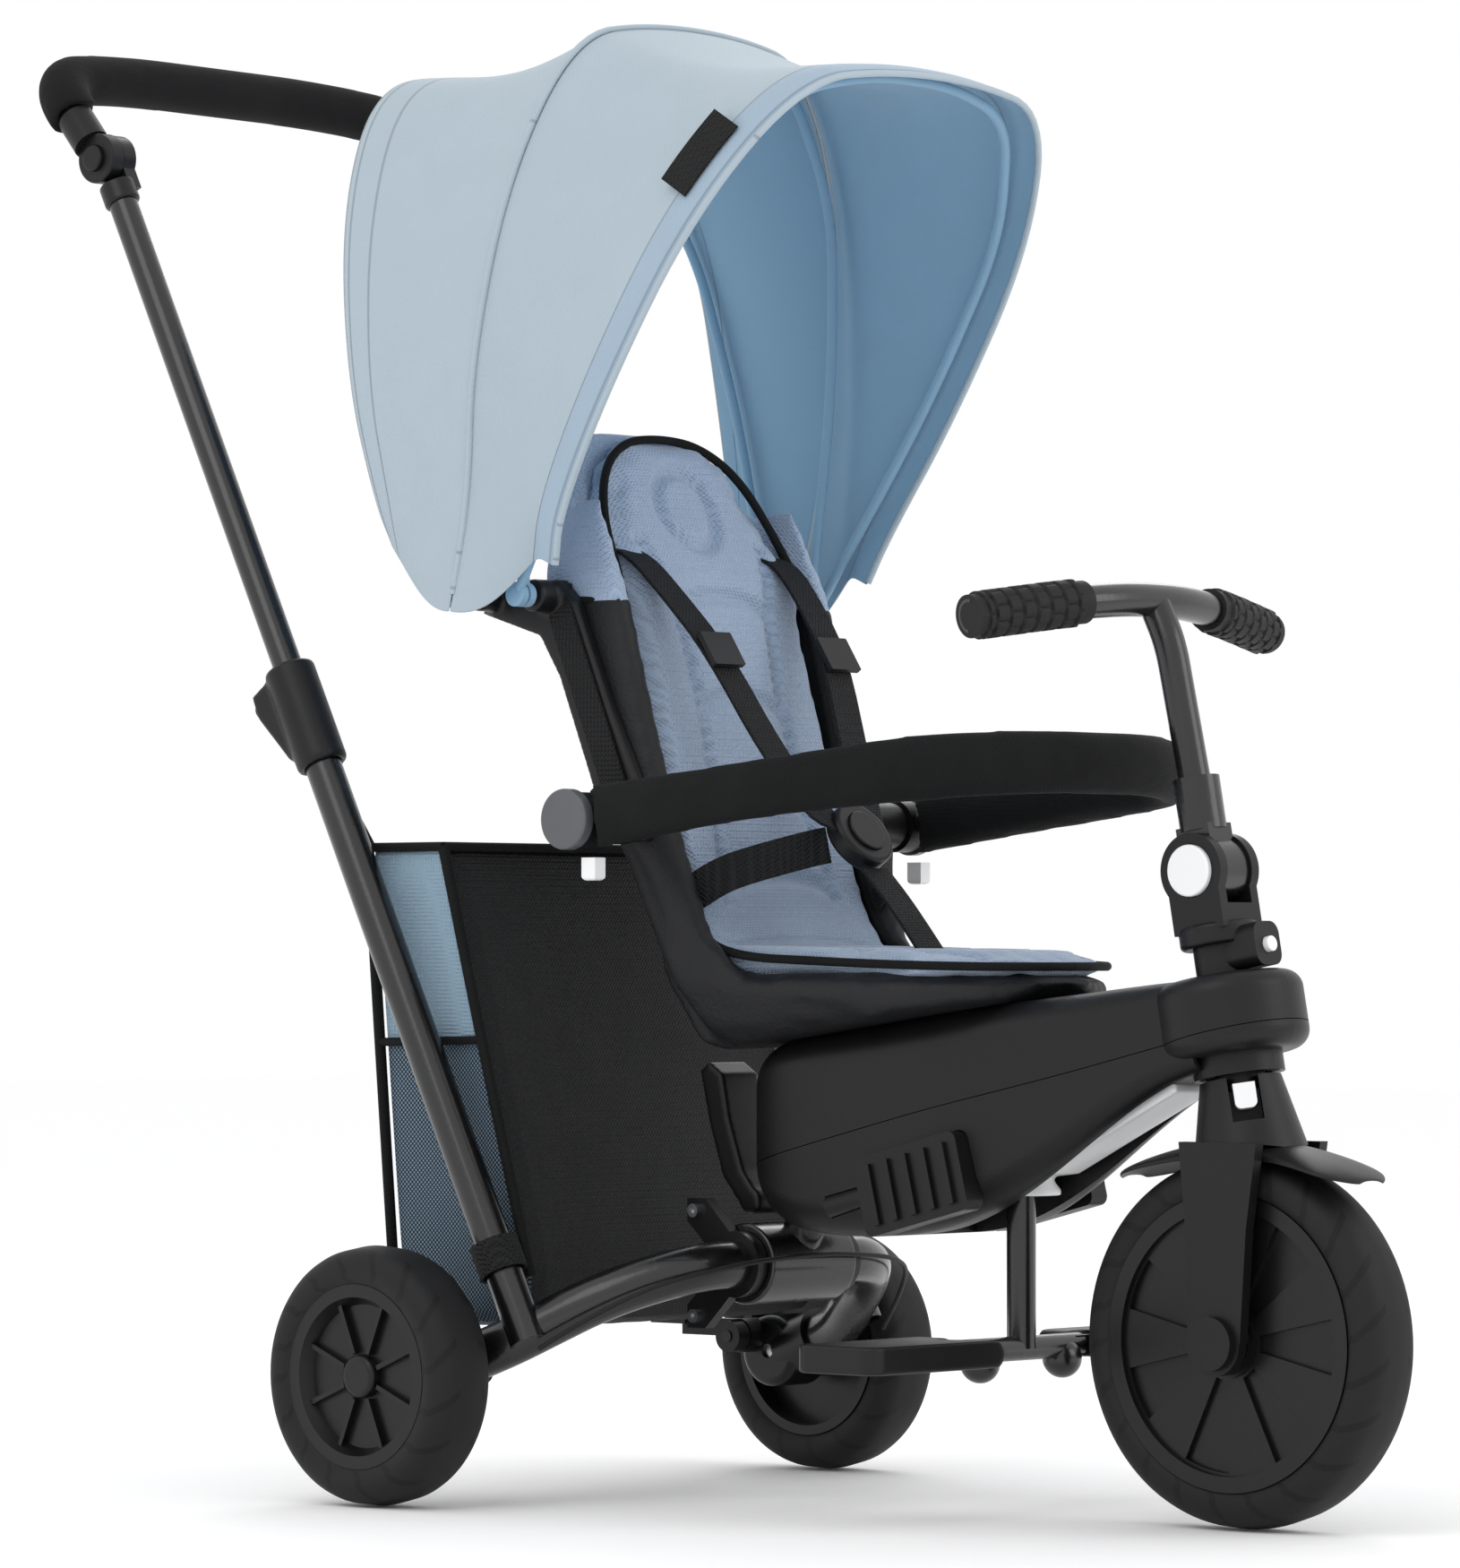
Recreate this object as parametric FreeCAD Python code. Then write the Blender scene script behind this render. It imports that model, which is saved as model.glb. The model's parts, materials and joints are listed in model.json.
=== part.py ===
import FreeCAD, Part
import math
import os

# A folding push tricycle for a small child. Lengths are millimetres.
# The model is laid out from the rear axle: +X forward, +Y to the rider's left,
# +Z up, the ground at Z = 0 and the plane of symmetry at Y = 0. On export it is
# moved along X so that the origin lies under the middle of the whole object.

# ---------------------------------------------------------------- dimensions
X_MIDDLE = 130.35              # middle of the object's length, from the rear axle
WHEELBASE = 546.0

REAR_TYRE_R = 85.3
REAR_RIM_R = 60.6
REAR_WHEEL_IN, REAR_WHEEL_OUT = 201.0, 250.0
FRONT_TYRE_R = 118.0
FRONT_RIM_R = 94.1
FRONT_TYRE_HALF_W = 25.35
AXLE_R = 5.0
RUNNING_FIT = 0.05             # radial clearance of a shaft in its hole
FREE_GAP = 0.4                 # gap between parts that slide or turn freely

ARC_TUBE_R = 16.0
FOLD_X, FOLD_Z = 158.0, 157.0  # the fold hinge, along Y
SLEEVE_R = 27.0
SLEEVE_HALF_W = 42.0
CLAMP_W = 9.0

PUSH_Y = 170.0                 # each push tube's distance from the middle
PUSH_FOOT_X, PUSH_FOOT_Z = 68.0, 138.0
PUSH_LEAN = 26.5               # degrees back from upright
LOWER_TUBE_R, UPPER_TUBE_R = 12.5, 10.1
TUBE_WALL = 1.9
COLLAR_LOW, COLLAR_HIGH = 392.0, 467.0
HANDLE_JOINT_S = 868.0         # distance up the push tube to the handle's joint
HANDLE_ARM_Y = 176.0
HANDLE_TUBE_R = 9.5
FOAM_R = 18.0

STEER_X, STEER_Z = 540.0, 280.0
STEER_TILT = 10.4              # degrees back from upright
COLUMN_R = 16.0
HEAD_BORE_R = 17.0
BAR_FOLD_S = 137.0             # distance up the column to the handlebar's fold
STEM_R = 10.3
BAR_R = 11.0
GRIP_R = 14.5
GRIP_IN, GRIP_OUT = 64.0, 153.0
FORK_IN, FORK_OUT = 29.5, 37.5

SHELL_WALL = 3.0
SEAM_START = (190.0, 227.0)    # the seam between the chassis shells, as X and Z
SEAM_END = (590.0, 324.0)

SEAT_HALF_W = 109.0
BAR_PIVOT_X, BAR_PIVOT_Z = 122.0, 450.0
CANOPY_X, CANOPY_Z = 55.0, 600.0
BOW_R = 3.5
BOW_ANGLES = {"rear": -16.5, "middle": 3.0, "front": 32.5}  # from upright, forward
BOW_Y = {"middle": 144.0, "front": 151.5, "rear": 158.0}    # nested side by side
BOW_TOP = {"rear": 373.0, "middle": 377.0, "front": 400.0}  # height over the foot
BOW_FOOT_X = {"rear": 5.0, "middle": CANOPY_X, "front": CANOPY_X}

FOOT_X, FOOT_Z = 361.0, 107.0
PAD_HINGE_Y = 66.0

X = FreeCAD.Vector(1, 0, 0)
Y = FreeCAD.Vector(0, 1, 0)
Z = FreeCAD.Vector(0, 0, 1)


# ------------------------------------------------------------------- helpers
def vec(x, y, z):
    return FreeCAD.Vector(x, y, z)


def cyl(base, axis, radius, length):
    return Part.makeCylinder(radius, length, base, axis)


def ring(base, axis, outer, inner, length):
    return cyl(base, axis, outer, length).cut(cyl(base, axis, inner, length))


def box(x0, x1, y0, y1, z0, z1):
    return Part.makeBox(x1 - x0, y1 - y0, z1 - z0, vec(x0, y0, z0))


def fuse(first, *others):
    return first.fuse(list(others)).removeSplitter()


def mirrored(shape):
    """The same piece on the rider's other side."""
    return shape.mirror(vec(0, 0, 0), Y)


def pair(right):
    return Part.makeCompound([right, mirrored(right)])


def polygon(points):
    return Part.Wire(Part.makePolygon(points + points[:1]))


def side_prism(outline, y0, y1):
    """A solid whose outline is given as X and Z, from y0 to y1."""
    face = Part.Face(polygon([vec(x, y0, z) for x, z in outline]))
    return face.extrude(vec(0, y1 - y0, 0))


def front_prism(outline, x0, x1):
    """A solid whose outline is given as Y and Z, from x0 to x1."""
    face = Part.Face(polygon([vec(x0, y, z) for y, z in outline]))
    return face.extrude(vec(x1 - x0, 0, 0))


def bent_path(points, largest=None):
    """Straight runs joined by tangent arcs, each as large as its runs allow."""
    edges = []
    start = points[0]
    for before, corner, after in zip(points, points[1:], points[2:]):
        back = before - corner
        ahead = after - corner
        reach = 0.45 * min(back.Length, ahead.Length)
        turn = math.pi - back.getAngle(ahead)
        if largest:
            reach = min(reach, largest * math.tan(turn / 2))
        back.normalize()
        ahead.normalize()
        first = corner + back * reach
        last = corner + ahead * reach
        middle = back + ahead
        middle.normalize()
        radius = reach / math.tan(turn / 2)
        top = corner + middle * (radius / math.cos(turn / 2) - radius)
        edges.append(Part.LineSegment(start, first).toShape())
        edges.append(Part.Arc(first, top, last).toShape())
        start = last
    edges.append(Part.LineSegment(start, points[-1]).toShape())
    return Part.Wire(edges)


def swept(path, section):
    return path.makePipeShell([section], True, False)


def rod(points, radius, largest=None):
    """A round bar along a bent path."""
    ahead = points[1] - points[0]
    circle = Part.Wire(Part.makeCircle(radius, points[0], ahead))
    return swept(bent_path(points, largest), circle)


def pipe(points, radius, wall, largest=None):
    return rod(points, radius, largest).cut(rod(points, radius - wall, largest))


def both_ways(half):
    """A route that is given from its end to its middle, carried on to the far end."""
    route = [vec(x, -y, z) for x, y, z in half]
    return route + [vec(x, y, z) for x, y, z in reversed(half)]


def tilted(shape, angle, x, y, z):
    """A piece built round the Z axis, leaned back by an angle and set in place."""
    placed = shape.copy()
    placed.rotate(vec(0, 0, 0), Y, -angle)
    placed.translate(vec(x, y, z))
    return placed


def on_push_tube(shape):
    """Along the right push tube: Z runs up the tube and X forward across it."""
    return tilted(shape, PUSH_LEAN, PUSH_FOOT_X, -PUSH_Y, PUSH_FOOT_Z)


def on_steering(shape):
    """Along the steering axis: Z runs up the column and X forward across it."""
    return tilted(shape, STEER_TILT, STEER_X, 0, STEER_Z)


def push_point(s, x=0.0, y=0.0):
    lean = math.radians(PUSH_LEAN)
    return vec(
        PUSH_FOOT_X - s * math.sin(lean) + x * math.cos(lean),
        -PUSH_Y + y,
        PUSH_FOOT_Z + s * math.cos(lean) + x * math.sin(lean),
    )


def steering_point(s):
    tilt = math.radians(STEER_TILT)
    return vec(STEER_X - s * math.sin(tilt), 0, STEER_Z + s * math.cos(tilt))


def round_edges(shape, radius, wanted):
    """Round the edges that a test picks out."""
    return shape.makeFillet(radius, [e for e in shape.Edges if wanted(e)])


def is_circle(edge, radius):
    curve = edge.Curve
    return isinstance(curve, Part.Circle) and abs(curve.Radius - radius) < 0.01


# ---------------------------------------------------------------- rear frame
ARC_HALF = [(8, 180, 86), (58, 172, 103), (118, 130, 140), (FOLD_X, 86, FOLD_Z)]


def rear_arc_tube():
    return pipe(both_ways(ARC_HALF), ARC_TUBE_R, TUBE_WALL)


def arc_tube_space():
    return rod(both_ways(ARC_HALF), ARC_TUBE_R)


def push_tubes_lower():
    tube = ring(vec(0, 0, -34), Z, LOWER_TUBE_R, LOWER_TUBE_R - TUBE_WALL, 34 + 440)
    return pair(on_push_tube(tube).cut(arc_tube_space()))


def wheel_knuckles():
    """Moulded elbows that join the arc tube's ends to the wheels."""
    hub = cyl(vec(0, -199, REAR_TYRE_R), Y, 25, 37)
    hub = round_edges(hub, 6, lambda e: is_circle(e, 25) and e.CenterOfMass.y > -170)
    sleeve = rod([vec(8, -180, 86), vec(40, -174.9, 97.5)], ARC_TUBE_R + 3.5)
    boss = cyl(vec(-14, -170, 96), Y, 12, 22)
    pin = cyl(vec(-14, -150, 96), Y, 4, 15)
    knuckle = fuse(hub, sleeve, boss, pin).cut(arc_tube_space())
    knuckle = knuckle.cut(cyl(vec(0, -260, REAR_TYRE_R), Y, AXLE_R, 120))
    knuckle = knuckle.cut(box(-300, 300, -400, -199, -50, 300))
    return pair(knuckle)


def rear_axles():
    shaft = cyl(vec(0, -243, REAR_TYRE_R), Y, AXLE_R, 78)
    return pair(shaft.cut(arc_tube_space()))


def hinge_clamp():
    """Two rings clamped on the arc tube, one each side of the chassis sleeve."""
    start = SLEEVE_HALF_W + 1.0
    rings = [ring(vec(FOLD_X, low, FOLD_Z), Y, ARC_TUBE_R + 6, ARC_TUBE_R, CLAMP_W)
             for low in (-start - CLAMP_W, start)]
    right = rings[0]
    for up in (1, -1):
        outline = [(FOLD_X - back, FOLD_Z + up * rise) for back, rise in
                   [(2, 20), (20, 8), (41, 28), (41, 43), (25, 43)]]
        right = fuse(right, side_prism(outline, -start - CLAMP_W, -start))
    right = right.cut(cyl(vec(FOLD_X, -80, FOLD_Z), Y, ARC_TUBE_R, 160))
    for x, z in clamp_screw_places():
        right = right.cut(cyl(vec(x, -80, z), Y, 2.5, 60))
    return Part.makeCompound([right, rings[1]])


def clamp_screw_places():
    return [(FOLD_X - 33, FOLD_Z + 35), (FOLD_X - 33, FOLD_Z - 35)]


def clamp_screws():
    face = -SLEEVE_HALF_W - 1.0 - CLAMP_W
    screws = []
    for x, z in clamp_screw_places():
        shank = cyl(vec(x, face, z), Y, 2.5, 12)
        head = cyl(vec(x, face - 4, z), Y, 4.5, 4)
        socket = cyl(vec(x, face - 4, z), Y, 2, 2.5)
        screws.append(fuse(shank, head).cut(socket))
    return Part.makeCompound(screws)


def tube_collars():
    """Moulded collars that hold the telescopic tubes, with a bulge at the back."""
    length = COLLAR_HIGH - COLLAR_LOW
    body = cyl(vec(0, 0, COLLAR_LOW), Z, 17.5, length)
    body = round_edges(body, 3, lambda e: is_circle(e, 17.5))
    outline = [(-10, COLLAR_LOW + 6), (-19, COLLAR_LOW + 14), (-33, COLLAR_HIGH - 22),
               (-32, COLLAR_HIGH - 6), (-10, COLLAR_HIGH - 2)]
    bulge = side_prism(outline, -11, 11)
    bulge = round_edges(bulge, 3, lambda e: abs(e.CenterOfMass.y) > 10.9)
    collar = fuse(body, bulge)
    collar = collar.cut(cyl(vec(0, 0, COLLAR_LOW - 1), Z, LOWER_TUBE_R, 441 - COLLAR_LOW))
    collar = collar.cut(cyl(vec(0, 0, 400), Z, UPPER_TUBE_R + FREE_GAP, 100))
    pocket = cyl(vec(-60, 0, COLLAR_HIGH - 16), X, 7 + FREE_GAP, 34)
    return pair(on_push_tube(collar.cut(pocket)))


def collar_button():
    button = cyl(vec(-36, 0, COLLAR_HIGH - 16), X, 7, 8)
    button = round_edges(button, 1.5, lambda e: e.CenterOfMass.x < -35)
    return on_push_tube(button)


BAG_OUTLINE = [(-14, 434), (66, 152), (58, 116), (40, 108), (-46, 112), (-60, 130),
               (-86, 432)]
BAG_HALF_W = 150.0
BAG_WALL = 3.0


def storage_bag():
    """An open-topped cloth box that hangs between the push tubes."""
    outer = side_prism(BAG_OUTLINE, -BAG_HALF_W, BAG_HALF_W)
    inside = [(-17.5, 440), (-17.2, 434), (62.8, 152), (55.6, 118.4), (39.4, 111.2),
              (-44.6, 115), (-56.8, 131), (-82.8, 432), (-83.4, 440)]
    half = BAG_HALF_W - BAG_WALL
    return outer.cut(side_prism(inside, -half, half))


CABLE_HALF = [(96, 174, 104), (144, 144, 140), (186, 88, 158), (192, 24, 163)]
CABLE_R = 1.6


def brake_cable():
    """The brake's link from wheel to wheel, round the front of the arc tube."""
    return rod(both_ways(CABLE_HALF), CABLE_R)


def brake_lever():
    """The parking brake's foot lever, inside the left wheel."""
    arm = box(-58, -10, 138, 147.5, 96, 108)
    pedal = box(-76, -44, 125, 147.5, 104, 110)
    pivot = cyl(vec(-14, 136, 96), Y, 11, 11.6)
    lever = fuse(arm, pedal, pivot)
    return lever.cut(cyl(vec(-14, 130, 96), Y, 4 + RUNNING_FIT, 30))


# -------------------------------------------------------------------- wheels
def tyre(y0, y1, outer, inner, shoulder):
    band = ring(vec(0, y0, 0), Y, outer, inner, y1 - y0)
    return round_edges(band, shoulder, lambda e: is_circle(e, outer))


def rear_tyre():
    band = tyre(REAR_WHEEL_IN, REAR_WHEEL_OUT, REAR_TYRE_R, REAR_RIM_R, 13)
    return band.translate(vec(0, 0, REAR_TYRE_R))


def rear_rim():
    """A dished rim with eight radial ribs and a domed hub cap."""
    y_in, y_out = REAR_WHEEL_IN + 1.5, REAR_WHEEL_OUT - 2.5
    disc = cyl(vec(0, y_in, 0), Y, REAR_RIM_R, y_out - y_in)
    dish = Part.makeCone(52, 47, 9, vec(0, y_out, 0), vec(0, -1, 0))
    hollow = ring(vec(0, y_in, 0), Y, 54, 20, 16)
    disc = disc.cut(dish).cut(hollow)
    ribs = []
    for number in range(8):
        rib = box(16, 50, y_out - 9, y_out - 4.5, -1.6, 1.6)
        rib.rotate(vec(0, 0, 0), Y, 45 * number + 22.5)
        ribs.append(rib)
    cap = cyl(vec(0, y_out - 9, 0), Y, 14.5, 8)
    cap = round_edges(cap, 4, lambda e: is_circle(e, 14.5) and e.CenterOfMass.y > y_out - 2)
    rim = fuse(disc, cap, *ribs)
    rim = rim.cut(cyl(vec(0, y_in - 1, 0), Y, AXLE_R + RUNNING_FIT, 243 - y_in + 1.5))
    return rim.translate(vec(0, 0, REAR_TYRE_R))


def front_tyre():
    half = FRONT_TYRE_HALF_W
    band = tyre(-half, half, FRONT_TYRE_R, FRONT_RIM_R, 15)
    return band.translate(vec(WHEELBASE, 0, FRONT_TYRE_R))


def front_rim():
    """A closed disc rim: alternate fan-shaped facets are raised and sunk."""
    half = FRONT_TYRE_HALF_W - 1.5
    disc = cyl(vec(0, -half, 0), Y, FRONT_RIM_R, 2 * half)
    for side in (-1, 1):
        face = side * half
        hollow = ring(vec(0, face, 0), vec(0, -side, 0), 84, 22, 3.5)
        disc = disc.cut(hollow)
        for number in range(7):
            fan = ring(vec(0, face - side * 3.5, 0), vec(0, -side, 0), 82, 24, 3.5)
            wedge = side_prism([(0, 0), (100, -22), (100, 22)], -half - 1, half + 1)
            wedge.rotate(vec(0, 0, 0), Y, number * 360 / 7)
            disc = disc.cut(fan.common(wedge))
    hub = cyl(vec(0, -half - 2.6, 0), Y, 19, 2 * half + 5.2)
    rim = fuse(disc, hub).cut(cyl(vec(0, -60, 0), Y, AXLE_R + RUNNING_FIT, 120))
    return rim.translate(vec(WHEELBASE, 0, FRONT_TYRE_R))


# --------------------------------------------------------------- push handle
def push_tubes_upper():
    tube = ring(vec(0, 0, 340), Z, UPPER_TUBE_R, UPPER_TUBE_R - TUBE_WALL, 506)
    return pair(on_push_tube(tube))


def handle_sockets():
    """Moulded ends on the push tubes, each with the inner half of a tilt joint."""
    cup = cyl(vec(0, 0, 832), Z, 12.5, 16)
    cup = round_edges(cup, 2, lambda e: is_circle(e, 12.5))
    disc = cyl(vec(0, 0.4, HANDLE_JOINT_S), Y, 17, 11)
    web = box(-11, 11, 0.4, 11.4, 840, HANDLE_JOINT_S)
    socket = fuse(cup, disc, web)
    socket = socket.cut(cyl(vec(0, 0, 800), Z, UPPER_TUBE_R, 46))
    socket = socket.cut(cyl(vec(0, -1, HANDLE_JOINT_S), Y, 4 + RUNNING_FIT, 20))
    return pair(on_push_tube(socket))


def handle_route():
    joint = push_point(HANDLE_JOINT_S)
    end = [joint.x, HANDLE_ARM_Y, joint.z]
    rise = (-52, 0, 59)
    start = [end[0] + 0.18 * rise[0], end[1], end[2] + 0.18 * rise[2]]
    return both_ways([start, (end[0] + rise[0], 174, end[2] + rise[2]),
                      (end[0] - 66, 92, 982)])


def handle_tube():
    """The U-shaped grip tube with the outer half of each tilt joint moulded on."""
    joint = push_point(HANDLE_JOINT_S)
    disc_space = cyl(vec(joint.x, -170, joint.z), Y, 18, 20)
    bar = rod(handle_route(), HANDLE_TUBE_R).cut([disc_space, mirrored(disc_space)])
    disc = cyl(vec(joint.x, -182, joint.z), Y, 17.5, 11.6)
    disc = round_edges(disc, 2, lambda e: is_circle(e, 17.5) and e.CenterOfMass.y < -180)
    pin = cyl(vec(joint.x, -171, joint.z), Y, 4, 12)
    route = handle_route()
    ahead = route[1] - route[0]
    ahead.normalize()
    sleeve = cyl(route[0], ahead, 13, 26).cut(box(-500, 500, -170.4, 200, 0, 1200))
    pocket = cyl(vec(joint.x, -183, joint.z), Y, 9 + FREE_GAP, 8)
    knuckle = fuse(disc, pin, sleeve).cut(pocket)
    whole = bar.fuse([knuckle, mirrored(knuckle)])
    return whole.cut([pocket, mirrored(pocket)])


def handle_foam():
    """One long foam grip over the U-shaped tube."""
    route = handle_route()
    cover = rod(route, FOAM_R).cut(rod(route, HANDLE_TUBE_R))
    joint = push_point(HANDLE_JOINT_S)
    keep_off = cyl(vec(joint.x, -300, joint.z), Y, 43.5, 600)
    return cover.cut(keep_off)


def handle_button():
    joint = push_point(HANDLE_JOINT_S)
    button = cyl(vec(joint.x, -186, joint.z), Y, 9, 8)
    return round_edges(button, 1.5, lambda e: e.CenterOfMass.y < -185)


# ------------------------------------------------------------------- chassis
def section_wire(x, half, low, high, corner):
    """A rounded rectangle across the chassis at one X."""
    y0, y1 = -half, half
    r = corner
    k = r * (1 - math.sqrt(0.5))
    spots = [
        (vec(x, y0 + r, low), vec(x, y1 - r, low)),
        (vec(x, y1 - r, low), vec(x, y1 - k, low + k), vec(x, y1, low + r)),
        (vec(x, y1, low + r), vec(x, y1, high - r)),
        (vec(x, y1, high - r), vec(x, y1 - k, high - k), vec(x, y1 - r, high)),
        (vec(x, y1 - r, high), vec(x, y0 + r, high)),
        (vec(x, y0 + r, high), vec(x, y0 + k, high - k), vec(x, y0, high - r)),
        (vec(x, y0, high - r), vec(x, y0, low + r)),
        (vec(x, y0, low + r), vec(x, y0 + k, low + k), vec(x, y0 + r, low)),
    ]
    edges = []
    for spot in spots:
        kind = Part.LineSegment if len(spot) == 2 else Part.Arc
        edges.append(kind(*spot).toShape())
    return Part.Wire(edges)


# X, half width, underside Z, top Z and corner radius of the chassis
CHASSIS_SECTIONS = [
    (172, 44, 214, 288, 18),
    (192, 60, 190, 302, 22),
    (262, 67, 178, 314, 24),
    (330, 66, 184, 324, 24),
    (392, 54, 210, 332, 22),
    (455, 44, 251, 339, 18),
    (530, 38, 288, 346, 14),
]


def under_channel(wall):
    """The channel below, where the footrest's collar and the pale moulding sit."""
    roof = [(300 - wall, 222 + wall), (400, 230 + wall), (446, 257 + wall),
            (506 + wall, 287 + wall)]
    outline = [(300 - wall, 100)] + roof + [(506 + wall, 100)]
    return side_prism(outline, -27 - wall, 27 + wall)


def chassis_hull(inset):
    wires = []
    for x, half, low, high, corner in CHASSIS_SECTIONS:
        if x == CHASSIS_SECTIONS[0][0]:
            x += inset
        wires.append(section_wire(x, half - inset, low + inset, high - inset,
                                  corner - inset))
    body = Part.makeLoft(wires, True, False).cut(under_channel(inset))
    nose = cyl(vec(0, 0, 18 + inset), Z, 48 - inset, 50 - 2 * inset)
    nose = round_edges(nose, 12 - inset, lambda e: is_circle(e, 48 - inset))
    return fuse(body, on_steering(nose))


def chassis_skin():
    skin = chassis_hull(0).cut(chassis_hull(SHELL_WALL))
    skin = skin.cut(on_steering(cyl(vec(0, 0, -20), Z, 21, 120)))
    skin = skin.cut(cyl(vec(FOLD_X, -90, FOLD_Z), Y, SLEEVE_R + 0.5, 180))
    return skin.cut(rod(FRAME_ROUTE, 14.5, 60))


FRAME_ROUTE = [vec(FOLD_X + 12, 0, FOLD_Z + 14), vec(206, 0, 232), vec(518, 0, 318)]


def main_frame_tube():
    """Steel spine: the fold sleeve, the sloping tube and the head tube, welded."""
    spine = rod(FRAME_ROUTE, 14, 60)
    sleeve = cyl(vec(FOLD_X, -SLEEVE_HALF_W, FOLD_Z), Y, SLEEVE_R, 2 * SLEEVE_HALF_W)
    sleeve = round_edges(sleeve, 2, lambda e: is_circle(e, SLEEVE_R))
    head = on_steering(cyl(vec(0, 0, 19), Z, 20.5, 48))
    frame = fuse(spine, sleeve, head)
    bore = cyl(vec(FOLD_X, -60, FOLD_Z), Y, ARC_TUBE_R + FREE_GAP, 120)
    return frame.cut(bore).cut(on_steering(cyl(vec(0, 0, -20), Z, HEAD_BORE_R, 120)))


def seam_block(above):
    """Everything above, or below, the seam between the shells."""
    slope = (SEAM_END[1] - SEAM_START[1]) / (SEAM_END[0] - SEAM_START[0])
    gap = 0.3 if above else -0.3
    x0, x1 = 50, 700
    z0 = SEAM_START[1] + slope * (x0 - SEAM_START[0]) + gap
    z1 = SEAM_START[1] + slope * (x1 - SEAM_START[0]) + gap
    end = 600 if above else 0
    return side_prism([(x0, z0), (x1, z1), (x1, end), (x0, end)], -200, 200)


PEDAL_X, PEDAL_Z = 327.0, 214.0
PEDAL_TILT = 14.0


def stowed_pedal(grow=0.0):
    """A ribbed pedal clipped into the chassis side, with its spindle to the rear."""
    block = box(-44 - grow, 44 + grow, -72, -56, -26 - grow, 26 + grow)
    block = round_edges(block, 6, lambda e: abs(e.tangentAt(e.FirstParameter).y) > 0.9)
    spindle = cyl(vec(-76 - grow, -64, 2), X, 7 + grow, 36)
    pedal = fuse(block, spindle)
    if not grow:
        for number in range(5):
            x = -34 + 16 * number
            pedal = fuse(pedal, box(x, x + 5, -75, -71, -20, 20))
    return tilted(pedal, PEDAL_TILT, PEDAL_X, 0, PEDAL_Z)


def stowed_pedals():
    return pair(stowed_pedal())


def chassis_upper_shell():
    return chassis_skin().common(seam_block(True))


def chassis_lower_shell():
    shell = chassis_skin().common(seam_block(False))
    collar = on_steering(ring(vec(0, 0, 5), Z, 29, 21, 13.5))
    shell = shell.cut([stowed_pedal(0.6), mirrored(stowed_pedal(0.6))])
    shell = shell.cut(cyl(vec(FOOT_X, 0, 150), Z, 15, 90))
    return shell.fuse(collar).removeSplitter()


def headset_bushes():
    lower = ring(vec(0, 0, 19), Z, HEAD_BORE_R, COLUMN_R + RUNNING_FIT, 8)
    upper = ring(vec(0, 0, 59), Z, HEAD_BORE_R, COLUMN_R + RUNNING_FIT, 8)
    return on_steering(Part.makeCompound([lower, upper]))


def underside_plate():
    """The pale moulding under the nose, with the footrest's collar at its rear."""
    outline = [(366, 217), (394, 220), (504, 275), (502, 282), (446, 254), (398, 227),
               (366, 221)]
    plate = side_prism(outline, -20, 20)
    flare = Part.makeCone(14, 23, 12, vec(FOOT_X + 4, 0, 221), vec(0, 0, -1))
    lip = cyl(vec(FOOT_X + 4, 0, 206), Z, 23, 3.5)
    neck = cyl(vec(FOOT_X, 0, 219), Z, 13, 14)
    plate = fuse(plate, flare, lip, neck)
    return plate.cut(cyl(vec(FOOT_X, 0, 180), Z, 9.5, 80))


def footrest_post():
    """A T-shaped steel post with a hinge lug at each end of its cross tube."""
    post = cyl(vec(FOOT_X, 0, FOOT_Z), Z, 9.5, 120)
    cross = cyl(vec(FOOT_X, -58, FOOT_Z), Y, 8, 116)
    whole = fuse(post, cross)
    for side in (-1, 1):
        y = side * PAD_HINGE_Y
        eye = cyl(vec(FOOT_X - 6, y, FOOT_Z), X, 6.5, 12)
        bridge = box(FOOT_X - 6, FOOT_X + 6, min(y, side * 50), max(y, side * 50),
                     FOOT_Z - 6.5, FOOT_Z + 6.5)
        foot = Part.makeSphere(13, vec(FOOT_X, side * 42, FOOT_Z - 8))
        whole = fuse(whole, eye, bridge, foot)
    return whole.cut(cyl(vec(FOOT_X - 40, -PAD_HINGE_Y, FOOT_Z), X, 3.05, 80)).cut(
        cyl(vec(FOOT_X - 40, PAD_HINGE_Y, FOOT_Z), X, 3.05, 80))


def footrest_pad():
    """A fold-up foot pad with its hinge pin."""
    outer = PAD_HINGE_Y + 122
    pad = box(FOOT_X - 34, FOOT_X + 34, -outer, -PAD_HINGE_Y, FOOT_Z - 9, FOOT_Z + 9)
    pad = round_edges(pad, 12, lambda e: abs(e.tangentAt(e.FirstParameter).z) > 0.9
                      and e.CenterOfMass.y < -outer + 5)
    knuckle = cyl(vec(FOOT_X - 34, -PAD_HINGE_Y, FOOT_Z), X, 9, 68)
    slot = box(FOOT_X - 9, FOOT_X + 9, -PAD_HINGE_Y - 9.5, -40, FOOT_Z - 20, FOOT_Z + 20)
    pin = cyl(vec(FOOT_X - 20, -PAD_HINGE_Y, FOOT_Z), X, 3, 40)
    return fuse(fuse(pad, knuckle).cut(slot), pin)


LEVER_X, LEVER_Z = 142.0, 198.0


def fold_lever():
    """A long curved lever behind the chassis that frees the fold."""
    outline = [(LEVER_X + x, LEVER_Z + z) for x, z in
               [(-4, -8), (-24, 16), (-36, 52), (-44, 86), (-36, 92), (-24, 84),
                (-18, 54), (-6, 20), (5, 6), (8, -6)]]
    blade = side_prism(outline, -19, 19)
    eye = cyl(vec(LEVER_X, -19, LEVER_Z), Y, 9, 38)
    return fuse(blade, eye)


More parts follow.
